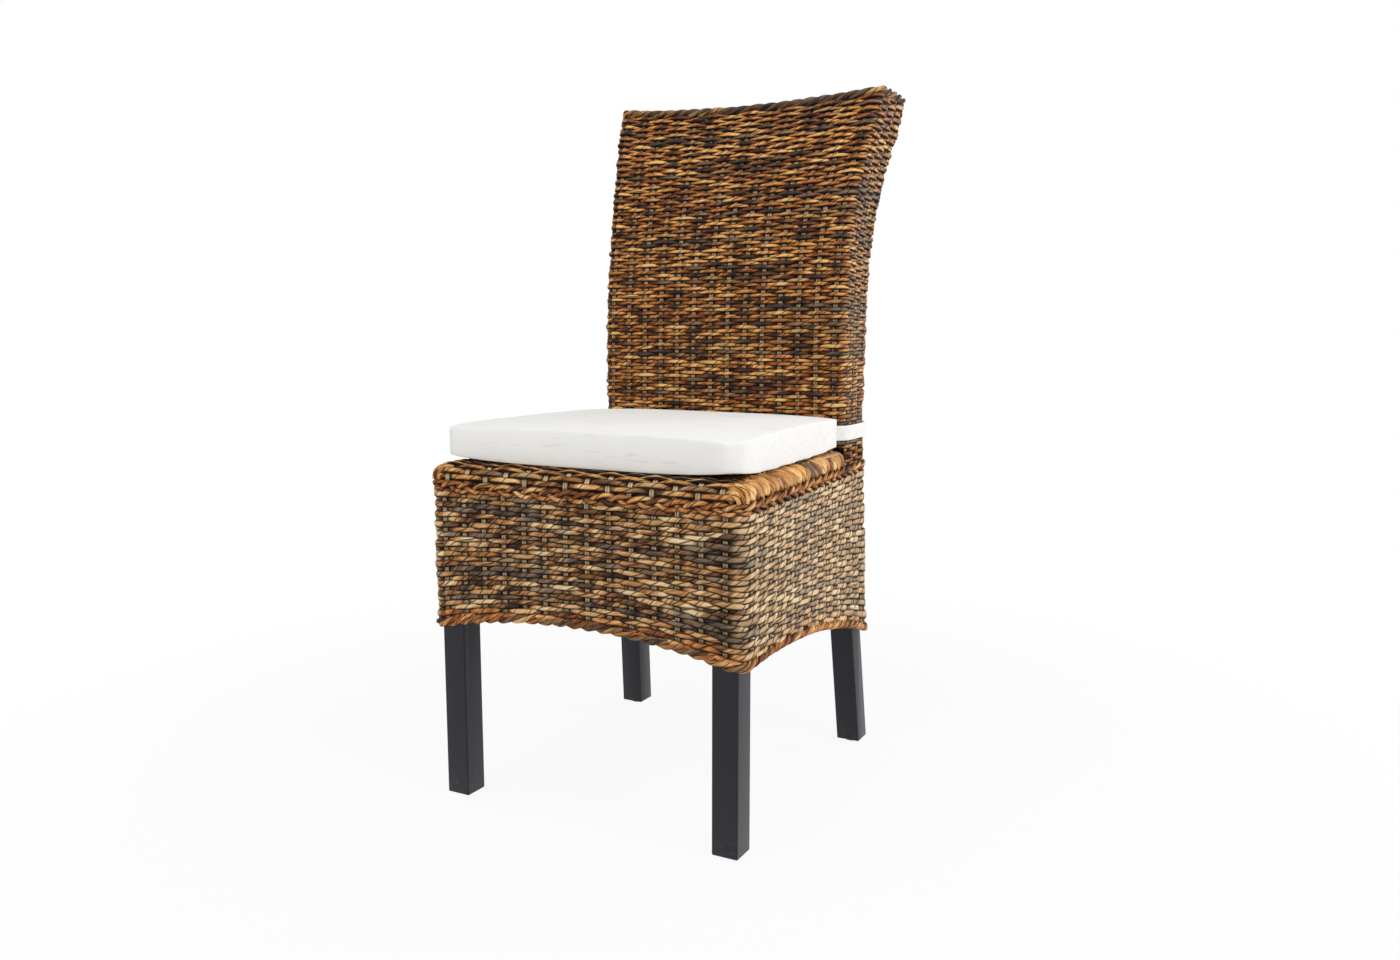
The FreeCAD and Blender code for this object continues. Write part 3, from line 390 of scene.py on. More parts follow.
def rounded_loop(corners, radius):
    """Points round a four-sided plan with rounded corners, from the middle of the first corner on."""
    points = []
    for index, corner in enumerate(corners):
        before, after = unit(corners[index - 1] - corner), unit(corners[(index + 1) % 4] - corner)
        bisector = unit(before + after)
        half = math.acos(bisector @ after)
        centre = corner + bisector * (radius / math.sin(half))
        reach = radius / math.tan(half)
        start, end = corner + before * reach - centre, corner + after * reach - centre
        sweep = math.pi - 2 * half
        for share in np.linspace(0, 1, CORNER_POINTS):
            turned = start * math.sin((1 - share) * sweep) + end * math.sin(share * sweep)
            points.append(centre + turned / math.sin(sweep))
    return np.roll(np.array(points), -(CORNER_POINTS // 2), axis=0)


class Loop:
    """A closed plan with stakes along its four sides. Its places are counted in stakes."""

    def __init__(self, corners, radius, counts, margins):
        self.points = rounded_loop(corners, radius)
        self.paces = lengths_along(np.vstack([self.points, self.points[:1]]))
        self.length = self.paces[-1]
        self.stakes = []
        for side, (count, margin) in enumerate(zip(counts, margins)):
            start, end = self.paces[CORNER_POINTS * side], self.paces[CORNER_POINTS * (side + 1)]
            self.stakes += np.linspace(start + margin, end - margin, count).tolist()

    def reached(self, places):
        """Lengths round the plan at places counted in stakes."""
        ends = [*self.stakes, self.stakes[0] + self.length]
        return np.interp(places, np.arange(len(ends)), ends) % self.length

    def cornering(self, places):
        """1 at the middle of each corner, falling to 0 at a reach from it."""
        gaps = np.abs(self.reached(places)[:, None] - self.paces[::CORNER_POINTS])
        return np.clip(1 - gaps.min(axis=1) / CORNER_REACH, 0, 1)

    def at(self, places):
        """Plan points at places counted in stakes."""
        paces, known = self.reached(places), self.paces[:-1]
        return [np.interp(paces, known, self.points[:, axis], period=self.length) for axis in (0, 1)]


def rear_half(height):
    """Half the width over the rear posts, which splay towards the floor."""
    return FLOOR_HALF - SPLAY * height


def skirt_loop(level):
    """The middle of the skirt's wall at a level from 0, its top, to 1, its rim."""
    height = SKIRT_TOP + level * (RIM_REAR - SKIRT_TOP)
    front, rear = FRONT_HALF - WALL_MIDDLE, rear_half(height) - WALL_MIDDLE
    near, far = FRONT_Y + WALL_MIDDLE, REAR_Y - WALL_MIDDLE
    corners = np.array([(-front, near), (front, near), (rear, far), (-rear, far)])
    return Loop(corners, CORNER_RADIUS, SKIRT_STAKES, SKIRT_MARGINS)


def skirt_line(loop, places, level):
    """Points round the skirt: the rows are level at the top and follow the arches at the rim."""
    x, y = loop.at(places)
    near, far = loop.points[:, 1].min(), loop.points[:, 1].max()
    share = (y - near) / (far - near)
    front, rear = FRONT_HALF - WALL_MIDDLE, rear_half(RIM_REAR) - WALL_MIDDLE
    arch = np.clip(1 - (x / (front + share * (rear - front))) ** 2, 0, 1)
    rim = RIM_FRONT + share * (RIM_REAR - RIM_FRONT) + SIDE_RISE * 4 * share * (1 - share)
    rim = rim + (FRONT_RISE + share * (REAR_RISE - FRONT_RISE)) * arch
    return np.stack([x, y, SKIRT_TOP + level * (rim - SKIRT_TOP)], axis=-1)


def rod_pair(line, across):
    """Two rods side by side along a line."""
    rods = []
    for way in (-0.5, 0.5):
        rods.append(Strand(line + across * (way * ROD_GAP), across, ROD_RADIUS, ROD_RADIUS))
    return rods


def pale_rattan():
    """Smooth straw-coloured cane with darker blotches along each rod."""
    finish = Finish("pale_rattan")
    strand = finish.place("UV")
    along, number = strand.part("X"), strand.part("Y")
    skin = strand.joined(along * 30, number * 9.0).noise(1.0, 3, 0.6)
    blotch = strand.joined(along * 9, number * 3.1).noise(1.0, 2)
    tint = (0.5 * skin + 0.5 * blotch).ramp((0.3, RATTAN_DARK), (0.5, RATTAN_MIDDLE), (0.68, RATTAN_PALE))
    return finish.feed(base_color=tint, roughness=0.35 + 0.25 * skin, normal=skin.bump(0.25, 0.0004))


def skirt_stakes():
    """A pair of rods at every stake, from a little above the top of the skirt down to the rim."""
    rods = []
    top, rim = skirt_loop(0.0), skirt_loop(1.0)
    places = np.arange(sum(SKIRT_STAKES))
    heads, feet = skirt_line(top, places, STAKE_HEAD), skirt_line(rim, places, STAKE_FOOT)
    ahead = skirt_line(top, places + STAKE_ASIDE, STAKE_HEAD) - heads
    for head, foot, across in zip(heads, feet, unit(ahead)):
        rods += rod_pair(np.linspace(foot, head, ROD_POINTS), across)
    return lay_strands("skirt_stake_rods", rods, ROD_SIDES)


rattan = pale_rattan()
fitted(skirt_stakes(), rattan, "rattan", "skirt_stakes")


# Skirt rows: two-ply rope twisted from flat plant fibre, laid in rows over one stake and under the
# next. Greyer and paler strands are mixed in, and the rows are beaten down close together.
SKIRT_ROWS, RIM_ROWS, ROWS_SHARE = 26, 2, 0.955
ROPE_SIDES, ROPE_LAY, PLY_DEPTH = 10, 0.042, 0.08
ROPE_THICK, ROPE_SWING = 0.0022, 0.0029
SKIRT_WIDTHS = (0.70, 0.65, 0.73)
SKIRT_BULGE = 0.0028
# A row stays in front of a stake, and behind one, over a spread that is counted in stakes.
FRONT_SPREAD, REAR_SPREAD = 0.45, 0.27
SIZE_RANGE, TILT_RANGE = (0.93, 1.1), (-0.03, 0.08)
WIDTH_WANDER, THICK_WANDER, OUT_WANDER, RISE_WANDER = 0.09, 0.14, 0.0006, 0.08
KNOT_STEPS = 11
TONE_PLACES = (0.04, 0.26, 0.5, 0.76, 0.97)
ABOVE_ZERO = 256.0
SKIRT_TONES = ("#24140a", "#694224", "#ab7745", "#d6a66f", "#eccb9c")
SKIRT_GREY, SKIRT_GOLD = "#7e6a59", "#cf8d46"
BORDER_TONES = ("#221007", "#6c3a19", "#a76531", "#d08e4e", "#eabd84")
BORDER_GREY, BORDER_GOLD = "#866749", "#cb8f4b"
# The first colour is painted shade, the second the dark end of worn grey bands, and the last painted light
# on the sides.
PAINTED_SHADE_DARK, WORN_DARK, SIDE_LIGHT_PALE = "#130903", "#2b241e", "#f0d8b6"


def wander(count, amount, every=KNOT_STEPS):
    """Random values that change smoothly along a strand, from one knot to the next."""
    knots = chance.uniform(-amount, amount, max(3, count // every))
    places = np.linspace(0, len(knots), count, endpoint=False)
    return np.interp(places, np.arange(len(knots)), knots, period=len(knots))


def on_sides(places, counts):
    """1 at places on the two sides of a plan and 0 on its front and rear. The counts are its stakes."""
    front, side, rear = counts[:3]
    starts = (front, front + side + rear)
    reach = np.maximum(*[side / 2 - np.abs(places - start - side / 2 + 0.5) for start in starts])
    return np.clip(reach + 0.5, 0, 1)


def woven_row(line, rise, places, row, pitch, widths, closed=True, bulge=0.0):
    """A strand in front of every second stake that dips behind the stakes between. Its widths are
    shares of the pitch in front of a stake, beside it and behind it."""
    count = len(line)
    gone = (places + row) % 2
    gone = np.minimum(gone, 2 - gone)
    in_front = np.exp(-(gone / FRONT_SPREAD) ** 2)
    behind = np.exp(-((1 - gone) / REAR_SPREAD) ** 2)
    share = widths[1] + (widths[0] - widths[1]) * in_front + (widths[2] - widths[1]) * behind
    size = chance.uniform(*SIZE_RANGE)
    wide = pitch * share * size * (1 + wander(count, WIDTH_WANDER, STRAND_STEPS))
    thick = ROPE_THICK * size * (1 + wander(count, THICK_WANDER))
    strand = Strand(line, rise, thick, wide, closed)
    strand.over = 1 - behind
    tilt = chance.uniform(*TILT_RANGE) * np.sin(math.pi * (places + row))
    swing = ROPE_SWING * (in_front - behind)
    out = swing + wander(count, OUT_WANDER) + bulge
    return strand.shifted(out, (tilt + wander(count, RISE_WANDER)) * pitch)


def rope_piece(name, strands):
    """A piece made of strands of two-ply rope."""
    return lay_strands(name, strands, ROPE_SIDES, ROPE_LAY, PLY_DEPTH)


def twisted_fibre(name, tones, grey, gold, grey_share, gold_share, groove_shade_strength=0.0, patches=(1.6, 0.47),
                  crease_shade_strength=0.85):
    """Rope of twisted plant fibre: each strand has its own tone, and bands of strands are greyer.
    Painted shade darkens the creases and the grooves between woven rows, most of all under each row,
    and painted light makes the sides of a piece paler. The patches say how fast the grey bands change
    along a strand and from one strand to the next."""
    finish = Finish(name, {"Specular IOR Level": 0.2})
    strand = finish.place("UV")
    along = strand.part("X")
    number = strand.maths("FLOOR", strand.part("Y"))
    around = strand.maths("FRACT", strand.part("Y"))
    # Two plies wind round each other unevenly, with a crease between them.
    wobble = strand.joined(along * 26.0, number * 7.7).noise(1.0, 1)
    winding = (around - MAP_MARGIN) * (2 / MAP_SHARE) - along * (2 / ROPE_LAY) + wobble * 2.4 + ABOVE_ZERO
    twist, ply = strand.maths("FRACT", winding), strand.maths("FLOOR", winding)
    crease = 1 - strand.maths("ABSOLUTE", twist - 0.5).between(0.02, 0.12)
    # The tone changes along a strand, from ply to ply and in fine fibres.
    tone = strand.joined(along * 12.0, number * 5.31).noise(1.0, 2, 0.6)
    leaf = strand.joined(ply * 1.37, number * 3.17, along * 2.0).noise(1.0, 1)
    fibre = strand.joined(along * 60.0, twist * 7.0, number * 2.3).noise(1.0, 4, 0.7)
    side_lit, over = finish.painted("side_lit"), finish.painted("over")
    # On the sides the tone is lifted a little, as painted light.
    shade = (0.5 * tone + 0.35 * leaf + 0.35 * fibre - 0.1 + 0.04 * side_lit).between(0.37, 0.62)
    tint = shade.ramp(*zip(TONE_PLACES, tones))
    # Some stretches are brighter, and others are grey and worn.
    gilded = strand.joined(along * 5.0, number * 4.19, 21.0).noise(1.0, 2)
    gilded = gilded.between(1 - gold_share, 1.1 - gold_share) * 0.7
    shine = (0.5 * leaf + 0.5 * fibre).between(0.3, 0.7)
    tint = gilded.blended(tint, shine.blended(colour(tones[1]), colour(gold)))
    banded = strand.joined(along * patches[0], number * patches[1], 9.0).noise(1.0, 3, 0.6)
    banded = banded.between(1 - grey_share, 1.08 - grey_share)
    worn = (0.6 * leaf + 0.4 * fibre).between(0.32, 0.68)
    tint = (banded * 0.88).blended(tint, worn.blended(colour(WORN_DARK), colour(grey)))
    # Painted shade darkens the creases, the stretches behind a stake and the grooves between rows.
    behind_stake_shade = 1 - over.between(0.1, 0.9)
    groove_shade = (0.5 - around).between(0.02, 0.115) + (around - 0.5).between(0.09, 0.165) * 0.85
    groove_shade = groove_shade * (1 - over.between(1.1, 1.6))
    painted_shade = crease.maths("MAXIMUM", crease * crease_shade_strength, behind_stake_shade * 0.9)
    painted_shade = painted_shade.maths("MAXIMUM", painted_shade, groove_shade * groove_shade_strength)
    # The sides are washed paler, as painted light from the side.
    tint = (0.3 * side_lit).blended(tint, colour(SIDE_LIGHT_PALE))
    tint = painted_shade.blended(tint, colour(PAINTED_SHADE_DARK))
    height = fibre * 0.35 + (1 - crease) * 0.9 + leaf * 0.2
    return finish.feed(base_color=tint, roughness=0.42 + 0.3 * fibre + 0.4 * painted_shade,
                       normal=height.bump(0.8, 0.0012))


def skirt_rows(name, rows):
    """Rows that go all round the skirt, with corners that bulge by chance."""
    strands = []
    places = np.arange(sum(SKIRT_STAKES) * STRAND_STEPS) / STRAND_STEPS
    for row in rows:
        level = (row + 0.5) / SKIRT_ROWS * ROWS_SHARE
        loop = skirt_loop(level)
        line = skirt_line(loop, places, level)
        pitch = line[:, 2] - skirt_line(loop, places, level + ROWS_SHARE / SKIRT_ROWS)[:, 2]
        bulge = loop.cornering(places) * chance.uniform(0, SKIRT_BULGE)
        strands.append(woven_row(line, UP, places, row, pitch, SKIRT_WIDTHS, bulge=bulge))
        # The sides of the skirt get painted light.
        strands[-1].side_lit = on_sides(places, SKIRT_STAKES)
    return rope_piece(name, strands)


skirt_fibre = twisted_fibre("skirt_fibre", SKIRT_TONES, SKIRT_GREY, SKIRT_GOLD, grey_share=0.47,
                            gold_share=0.44, groove_shade_strength=0.98, patches=(4.0, 0.9))
border_fibre = twisted_fibre("border_fibre", BORDER_TONES, BORDER_GREY, BORDER_GOLD, grey_share=0.36,
                             gold_share=0.45, groove_shade_strength=0.9)
half_way, rim_row = SKIRT_ROWS // 2, SKIRT_ROWS - RIM_ROWS
fitted(skirt_rows("skirt_rows_upper", range(half_way)), skirt_fibre, "skirt_fibre", "skirt_weave")
fitted(skirt_rows("skirt_rows_lower", range(half_way, rim_row)), skirt_fibre, "skirt_fibre", "skirt_weave")
fitted(skirt_rows("skirt_rows_rim", range(rim_row, SKIRT_ROWS)), border_fibre, "skirt_fibre", "skirt_weave")


# Borders of the skirt: golden fibre. A flat three-strand plait covers the joint under the seat edge,
# and a plied rope is sewn along the arched rim.
PLAIT_PERIOD, PLAIT_HALF, PLAIT_SWING = 0.078, 0.0056, 0.0024
PLAIT_THICK, PLAIT_WIDE, PLAIT_LIFT, PLAIT_OUT = 0.0029, 0.0040, 0.0074, 0.0012
RIM_RADIUS, RIM_LAY, RIM_LIFT, RIM_OUT = 0.0066, 0.066, 0.0064, 0.0004
PLIES, PLY_SIZE_SHARE, PLY_PLACE_SHARE, PLY_WANDER = 3, 0.5, 0.55, 0.1
BORDER_STEPS = 12


def turns_along(strand, length):
    """Turns at each point of a closed strand: about one in each length, and a whole number in all."""
    paces = strand.paces()
    return paces[:len(strand.line)] / paces[-1] * round(paces[-1] / length)


def plaited(line, rise):
    """Strands that cross over each other in turn, in a closed line."""
    strands = []
    for number in range(PLIES):
        strand = Strand(line, rise, PLAIT_THICK, PLAIT_WIDE, closed=True)
        angle = 2 * math.pi * (turns_along(strand, PLAIT_PERIOD) + number / PLIES)
        strands.append(strand.shifted(PLAIT_SWING * np.sin(2 * angle), PLAIT_HALF * np.sin(angle)))
    return strands


def plied(line, rise, radius, lay):
    """Strands laid up round each other into a rope, in a closed line."""
    strands = []
    for number in range(PLIES):
        size = radius * PLY_SIZE_SHARE * (1 + wander(len(line), PLY_WANDER))
        strand = Strand(line, rise, size, size, closed=True)
        angle = 2 * math.pi * (turns_along(strand, lay) + number / PLIES)
        place = radius * PLY_PLACE_SHARE
        strands.append(strand.shifted(place * np.cos(angle), place * np.sin(angle)))
    return strands


def skirt_border(level, lift, out):
    """A fine line round the skirt at a level, lifted and set out from the middle of the wall."""
    places = np.arange(sum(SKIRT_STAKES) * BORDER_STEPS) / BORDER_STEPS
    line = skirt_line(skirt_loop(level), places, level)
    line[:, 2] += lift
    return Strand(line, UP, 0.0, 0.0, closed=True).shifted(out).line


edge_plait = plaited(skirt_border(0.0, PLAIT_LIFT, PLAIT_OUT), UP)
fitted(rope_piece("seat_edge_plait", edge_plait), border_fibre, "braid_fibre", "seat_edge_border")
rim_rope = plied(skirt_border(1.0, RIM_LIFT, RIM_OUT), UP, RIM_RADIUS, RIM_LAY)
rope_fibre = twisted_fibre("rope_fibre", BORDER_TONES, BORDER_GREY, BORDER_GOLD, grey_share=0.46,
                           gold_share=0.45)
fitted(rope_piece("rim_rope", rim_rope), rope_fibre, "braid_fibre", "rim_border")


# Seat: stakes run from front to rear and bend down over the front edge. Rope rows cross them, and broad
# wraps of fibre lie side by side over the rolled side edges, down to the plait.
BACK_FRONT_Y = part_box("back_weave")[0].y
SEAT_ROLL, SEAT_PITCH = 0.021, 0.0069
SEAT_STAKES, SEAT_STAKE_PITCH = 14, 0.0317
POST_INNER = 0.158
SEAT_WIDTHS = (0.68, 0.57, 0.62)
FIRST_ROW, ROLL_SHARE, FINE_STEP = 0.35, 0.4, 0.0038
SEAT_STAKE_BEND, SEAT_STAKE_MIDDLE, SEAT_STAKE_END = 0.04, 0.2, 0.385
WRAP_LEAN, WRAP_PITCH, WRAP_REACH, WRAP_WIDE, WRAP_THICK = 0.45, 0.0165, 0.012, 0.0098, 0.0042
WRAP_START, WRAP_END, WRAP_SINK, LEAN_GROWTH = 0.003, 0.006, 0.001, 0.06
WRAP_THICK_WANDER, WRAP_WIDTH_WANDER, WRAP_RISE_WANDER = 0.25, 0.15, 0.0016
WRAP_KNOTS, WRAP_RISE_KNOTS = 3, 4
SEAT_TONES = ("#301d0d", "#7f5029", "#be8042", "#dda35c", "#f0c688")
SEAT_GREY, SEAT_GOLD = "#7a6754", "#cc8f46"
ROLL_RADIUS = SEAT_ROLL - WALL_MIDDLE
EDGE_STAND = SEAT_TOP - SEAT_ROLL - SEAT_EDGE
ACROSS, TOWARDS_REAR = np.array((1.0, 0.0, 0.0)), np.array((0.0, 1.0, 0.0))


def seat_profile(gone):
    """Depth, height and angle of the seat's middle surface at a length from its front edge's foot."""
    angle = min(max(gone - EDGE_STAND, 0.0) / ROLL_RADIUS, math.pi / 2)
    beyond = max(0.0, gone - EDGE_STAND - ROLL_RADIUS * math.pi / 2)
    depth = FRONT_Y + SEAT_ROLL - ROLL_RADIUS * math.cos(angle) + beyond
    height = SEAT_TOP - SEAT_ROLL + ROLL_RADIUS * math.sin(angle) - max(0.0, EDGE_STAND - gone)
    return depth, height, angle


def seat_half(depth):
    """Half the width of the seat, which narrows towards the rear posts."""
    share = (depth - FRONT_Y) / (REAR_Y - FRONT_Y)
    return FRONT_HALF + share * (rear_half(SEAT_TOP) - FRONT_HALF)


def spaced(points, step=FINE_STEP):
    """Points about one step apart along a line."""
    paces = lengths_along(points)
    places = np.linspace(0, paces[-1], round(paces[-1] / step) + 1)
    return np.stack([np.interp(places, paces, points[:, axis]) for axis in range(3)], axis=-1)


def seat_line(depth, radius):
    """Points across the seat, over its rolled edges. The wraps on the edges lean towards the front."""
    bend = seat_half(depth) - SEAT_ROLL
    level = SEAT_TOP - SEAT_ROLL
    side = [(bend + radius, SEAT_EDGE)]
    for angle in np.linspace(0, math.pi / 2, CORNER_POINTS):
        side.append((bend + radius * math.cos(angle), level + radius * math.sin(angle)))
    corners = np.array([(-x, z) for x, z in side] + side[::-1])
    lean = WRAP_LEAN * min(1.0, (depth - FRONT_Y) / LEAN_GROWTH)
    y = depth - lean * (level + radius - corners[:, 1])
    return spaced(np.stack([corners[:, 0], y, corners[:, 1]], axis=-1))


def seat_rows():
    """Rows across the seat, from its rolled front edge to the rear, where they end at the posts."""
    strands = []
    length = EDGE_STAND + ROLL_RADIUS * math.pi / 2 + BACK_FRONT_Y - FRONT_Y - SEAT_ROLL
    rows = round(length / SEAT_PITCH)
    for row in range(rows):
        depth, _, angle = seat_profile(EDGE_STAND + (row + FIRST_ROW) * (length - EDGE_STAND) / rows)
        line = seat_line(depth, ROLL_RADIUS * math.sin(angle))
        if angle == math.pi / 2:
            line = line[np.abs(line[:, 0]) < seat_half(depth) - SEAT_ROLL]
        rise = np.array((0.0, math.sin(angle), math.cos(angle)))
        places = (np.linspace(-0.5, 0.5, len(line)) * len(line) * FINE_STEP) / SEAT_STAKE_PITCH - 0.5
        strand = woven_row(line, rise, places, row, SEAT_PITCH, SEAT_WIDTHS, closed=False)
        inside = np.clip((seat_half(depth) - np.abs(line[:, 0])) / SEAT_ROLL - ROLL_SHARE, 0, 1)
        strand.shifted((1 - inside) * ROPE_SWING * (1 - strand.over))
        # Over the rolled edges the mark is set to 2, which takes the painted groove shade off these rows.
        strand.over = inside * strand.over + (1 - inside) * 2
        strands.append(strand)
    for depth in np.arange(BACK_FRONT_Y + SEAT_PITCH / 2, REAR_Y - SEAT_PITCH, SEAT_PITCH):
        line = spaced(np.array([(x, depth, SEAT_TOP - WALL_MIDDLE) for x in (-POST_INNER, POST_INNER)]))
        places = line[:, 0] / SEAT_STAKE_PITCH - 0.5
        row = round(depth / SEAT_PITCH)
        strands.append(woven_row(line, TOWARDS_REAR, places, row, SEAT_PITCH, SEAT_WIDTHS, closed=False))
    return rope_piece("seat_rows", strands)


def seat_wraps():
    """Broad strands over the rolled sides, from the ends of the rows down to the plait."""
    strands = []
    for depth in np.arange(FRONT_Y + SEAT_ROLL + WRAP_START, BACK_FRONT_Y + WRAP_END, WRAP_PITCH):
        for side in (-1, 1):
            line = seat_line(depth, ROLL_RADIUS)
            line = line[side * line[:, 0] > seat_half(depth) - SEAT_ROLL - WRAP_REACH]
            thick = WRAP_THICK * (1 + wander(len(line), WRAP_THICK_WANDER, WRAP_KNOTS))
            wide = WRAP_WIDE * (1 + wander(len(line), WRAP_WIDTH_WANDER, WRAP_KNOTS))
            strand = Strand(line, TOWARDS_REAR, thick, wide)
            rise = wander(len(line), WRAP_RISE_WANDER, WRAP_RISE_KNOTS)
            strands.append(strand.shifted(-WRAP_SINK, rise))
    return rope_piece("seat_wraps", strands)


def seat_stakes():
    """Pairs of rods that bend over the front edge and run back along the seat."""
    rods = []
    lengths = [*np.linspace(0, SEAT_STAKE_BEND, CORNER_POINTS), SEAT_STAKE_MIDDLE, SEAT_STAKE_END]
    for index in range(SEAT_STAKES):
        x = (index - (SEAT_STAKES - 1) / 2) * SEAT_STAKE_PITCH
        line = np.array([(x, *seat_profile(gone)[:2]) for gone in lengths])
        rods += rod_pair(line, ACROSS)
    return lay_strands("seat_stake_rods", rods, ROD_SIDES)


seat_fibre = twisted_fibre("seat_fibre", SEAT_TONES, SEAT_GREY, SEAT_GOLD, grey_share=0.42,
                           gold_share=0.48, groove_shade_strength=0.97)
fitted(seat_rows(), seat_fibre, "skirt_fibre", "seat_weave")
wrap_fibre = twisted_fibre("wrap_fibre", SEAT_TONES, SEAT_GREY, SEAT_GOLD, grey_share=0.46,
                           gold_share=0.45, crease_shade_strength=0.4)
fitted(seat_wraps(), wrap_fibre, "skirt_fibre", "seat_weave")
fitted(seat_stakes(), rattan, "rattan", "seat_stakes")


# Back: closed rows of darker, redder rope round stakes that follow the curve of the posts. The rows
# rise and spread into ears at the top corners, where they are beaten tight.
BEND_HEIGHT, BACK_RADIUS, BACK_SWEEP = 0.62, 0.847, math.radians(25)
BACK_DEPTH, EAR_LENGTH, EAR_FLARE, EAR_LIFT = 0.0988, 0.25, 0.02, 0.013
BACK_STRAIGHT = BEND_HEIGHT - SEAT_TOP
BACK_LENGTH = BACK_STRAIGHT + BACK_RADIUS * BACK_SWEEP
TOP_ANGLE = math.asin(BACK_RADIUS * math.sin(BACK_SWEEP) / (BACK_RADIUS - BACK_DEPTH))
REAR_CLIMB = BACK_RADIUS * (TOP_ANGLE - BACK_SWEEP)
BACK_ROWS, ROWS_TIGHTEN = 98, 0.05
BACK_STAKES = (14, 3, 14, 3)
BACK_WIDTHS, TIGHT_WIDTHS = (0.70, 0.57, 0.62), (0.78, 0.58, 0.62)
TIGHT_FROM = 0.7 * BACK_LENGTH
BACK_MARGINS = (0.010, 0.019, 0.010, 0.019)
BACK_PITCH = BACK_LENGTH / BACK_ROWS
# The last of these is how much painted light the back's sides get.
BACK_CORNER, BACK_BULGE, BACK_SIDE_LIGHT = 0.012, 0.0035, 0.4
BACK_SWELL, SWELL_START, SWELL_GROWTH = 0.003, 0.06, 0.1
CAP_SINK, CAP_STAKE_PITCH = 0.002, 0.03
BACK_ROD_FOOT, BACK_ROD_LEVEL, BACK_ROD_HEAD = 0.002, 0.1, BACK_LENGTH - 0.004
BACK_ROD_POINTS = 12
BACK_TONES = ("#1a0d04", "#583014", "#9b5a25", "#cb8844", "#e6b06a")
BACK_GREY, BACK_RED = "#62503e", "#b05a1e"


def on_back(x, depth, along):
    """Points at a depth behind the front of the back and a length up it, straight and then curved."""
    angle = np.maximum(along - BACK_STRAIGHT, 0) / BACK_RADIUS
    radius = BACK_RADIUS - depth
    y = BACK_FRONT_Y + BACK_RADIUS - radius * np.cos(angle)
    z = SEAT_TOP + np.minimum(along, BACK_STRAIGHT) + radius * np.sin(angle)
    return np.stack([x, y, z], axis=-1)


def ear(along):
    """How far the ears have grown at a length up the back, from 0 to 1."""
    return (max(0.0, along - BACK_LENGTH + EAR_LENGTH) / EAR_LENGTH) ** 2


def back_half(along):
    """Half the width of the back at a length up it, with the ears."""
    return rear_half(min(BEND_HEIGHT, SEAT_TOP + along)) + EAR_FLARE * ear(along)


def climbed(along, depth):
    """The place of a row at a depth: rows climb towards the rear, so that the top of the back is level."""
    share = np.clip((along - BACK_STRAIGHT) / (BACK_LENGTH - BACK_STRAIGHT), 0, 1)
    return along + REAR_CLIMB * share ** 2 * depth / BACK_DEPTH


def back_loop(along, inset=WALL_MIDDLE):
    """The middle of the back's wall in plan. Higher rows stand out a little further."""
    swell = BACK_SWELL * min(1.0, max(0.0, along - SWELL_START) / SWELL_GROWTH)
    half, rear = back_half(along) - inset + swell, BACK_DEPTH - inset + 2 * swell
    rear_width = back_half(max(along, min(climbed(along, rear), BACK_LENGTH))) - inset + swell
    corners = np.array([(-half, inset), (half, inset), (rear_width, rear), (-rear_width, rear)])
    return Loop(corners, BACK_CORNER, BACK_STAKES, BACK_MARGINS)


def back_line(places, along, inset=WALL_MIDDLE):
    """Points round the back, with its corners lifted into the ears."""
    x, depth = back_loop(along, inset).at(places)
    lift = EAR_LIFT * ear(along) * (x / back_half(along)) ** 2
    return on_back(x, depth, climbed(along, depth) + lift)


def way_up(along):
    """The direction up the front of the back at a length up it."""
    angle = max(along - BACK_STRAIGHT, 0) / BACK_RADIUS
    return np.array((0.0, math.sin(angle), math.cos(angle)))


def row_place(row):
    """The length up the back of a row. The rows get a little closer towards the top."""
    share = (row + 0.5) / BACK_ROWS
    return BACK_LENGTH * share * (1 + ROWS_TIGHTEN * (1 - share))


def back_rows(name, rows):
    """Rows that go all round the back, broader near its top."""
    strands = []
    places = np.arange(sum(BACK_STAKES) * STRAND_STEPS) / STRAND_STEPS
    for row in rows:
        along = row_place(row)
        line = back_line(places, along)
        pitch = np.linalg.norm(back_line(places, row_place(row + 1)) - line, axis=1)
        bulge = 0.0
        if along >= SWELL_START:
            bulge = back_loop(along).cornering(places) * chance.uniform(0, BACK_BULGE)
        widths = BACK_WIDTHS if along < TIGHT_FROM else TIGHT_WIDTHS
        strands.append(woven_row(line, way_up(along), places, row, pitch, widths, bulge=bulge))
        # The sides of the back get painted light, weaker than on the skirt.
        strands[-1].side_lit = BACK_SIDE_LIGHT * on_sides(places, BACK_STAKES)
    return rope_piece(name, strands)


def back_foot_rows():
    """Open rows round the sides and the rear, below the seat and down to the plait."""
    strands = []
    first, last = BACK_STAKES[0] - 0.5, sum(BACK_STAKES) - 0.5
    places = np.arange(first, last, 1 / STRAND_STEPS)
    for row in range(1, 1 + round((SEAT_TOP - SEAT_EDGE) / BACK_PITCH)):
        along = (0.5 - row) * BACK_PITCH
        line = back_line(places, along)
        strands.append(woven_row(line, way_up(along), places, row, BACK_PITCH, BACK_WIDTHS, closed=False))
    return rope_piece("back_foot_rows", strands)


def back_cap_rows():
    """Rows that close the level top of the back between its front and rear edges."""
    strands = []
    half = back_half(BACK_LENGTH) - WALL_MIDDLE
    x = np.linspace(-half, half, round(2 * half / FINE_STEP))
    lift = EAR_LIFT * (x / half) ** 2 - CAP_SINK
    places = x / CAP_STAKE_PITCH
    for row, depth in enumerate(np.arange(2 * WALL_MIDDLE, BACK_DEPTH, BACK_PITCH)):
        line = on_back(x, np.full(len(x), depth), climbed(BACK_LENGTH, depth) + lift)
        strands.append(woven_row(line, TOWARDS_REAR, places, row, BACK_PITCH, BACK_WIDTHS, closed=False))
    return rope_piece("back_cap_rows", strands)


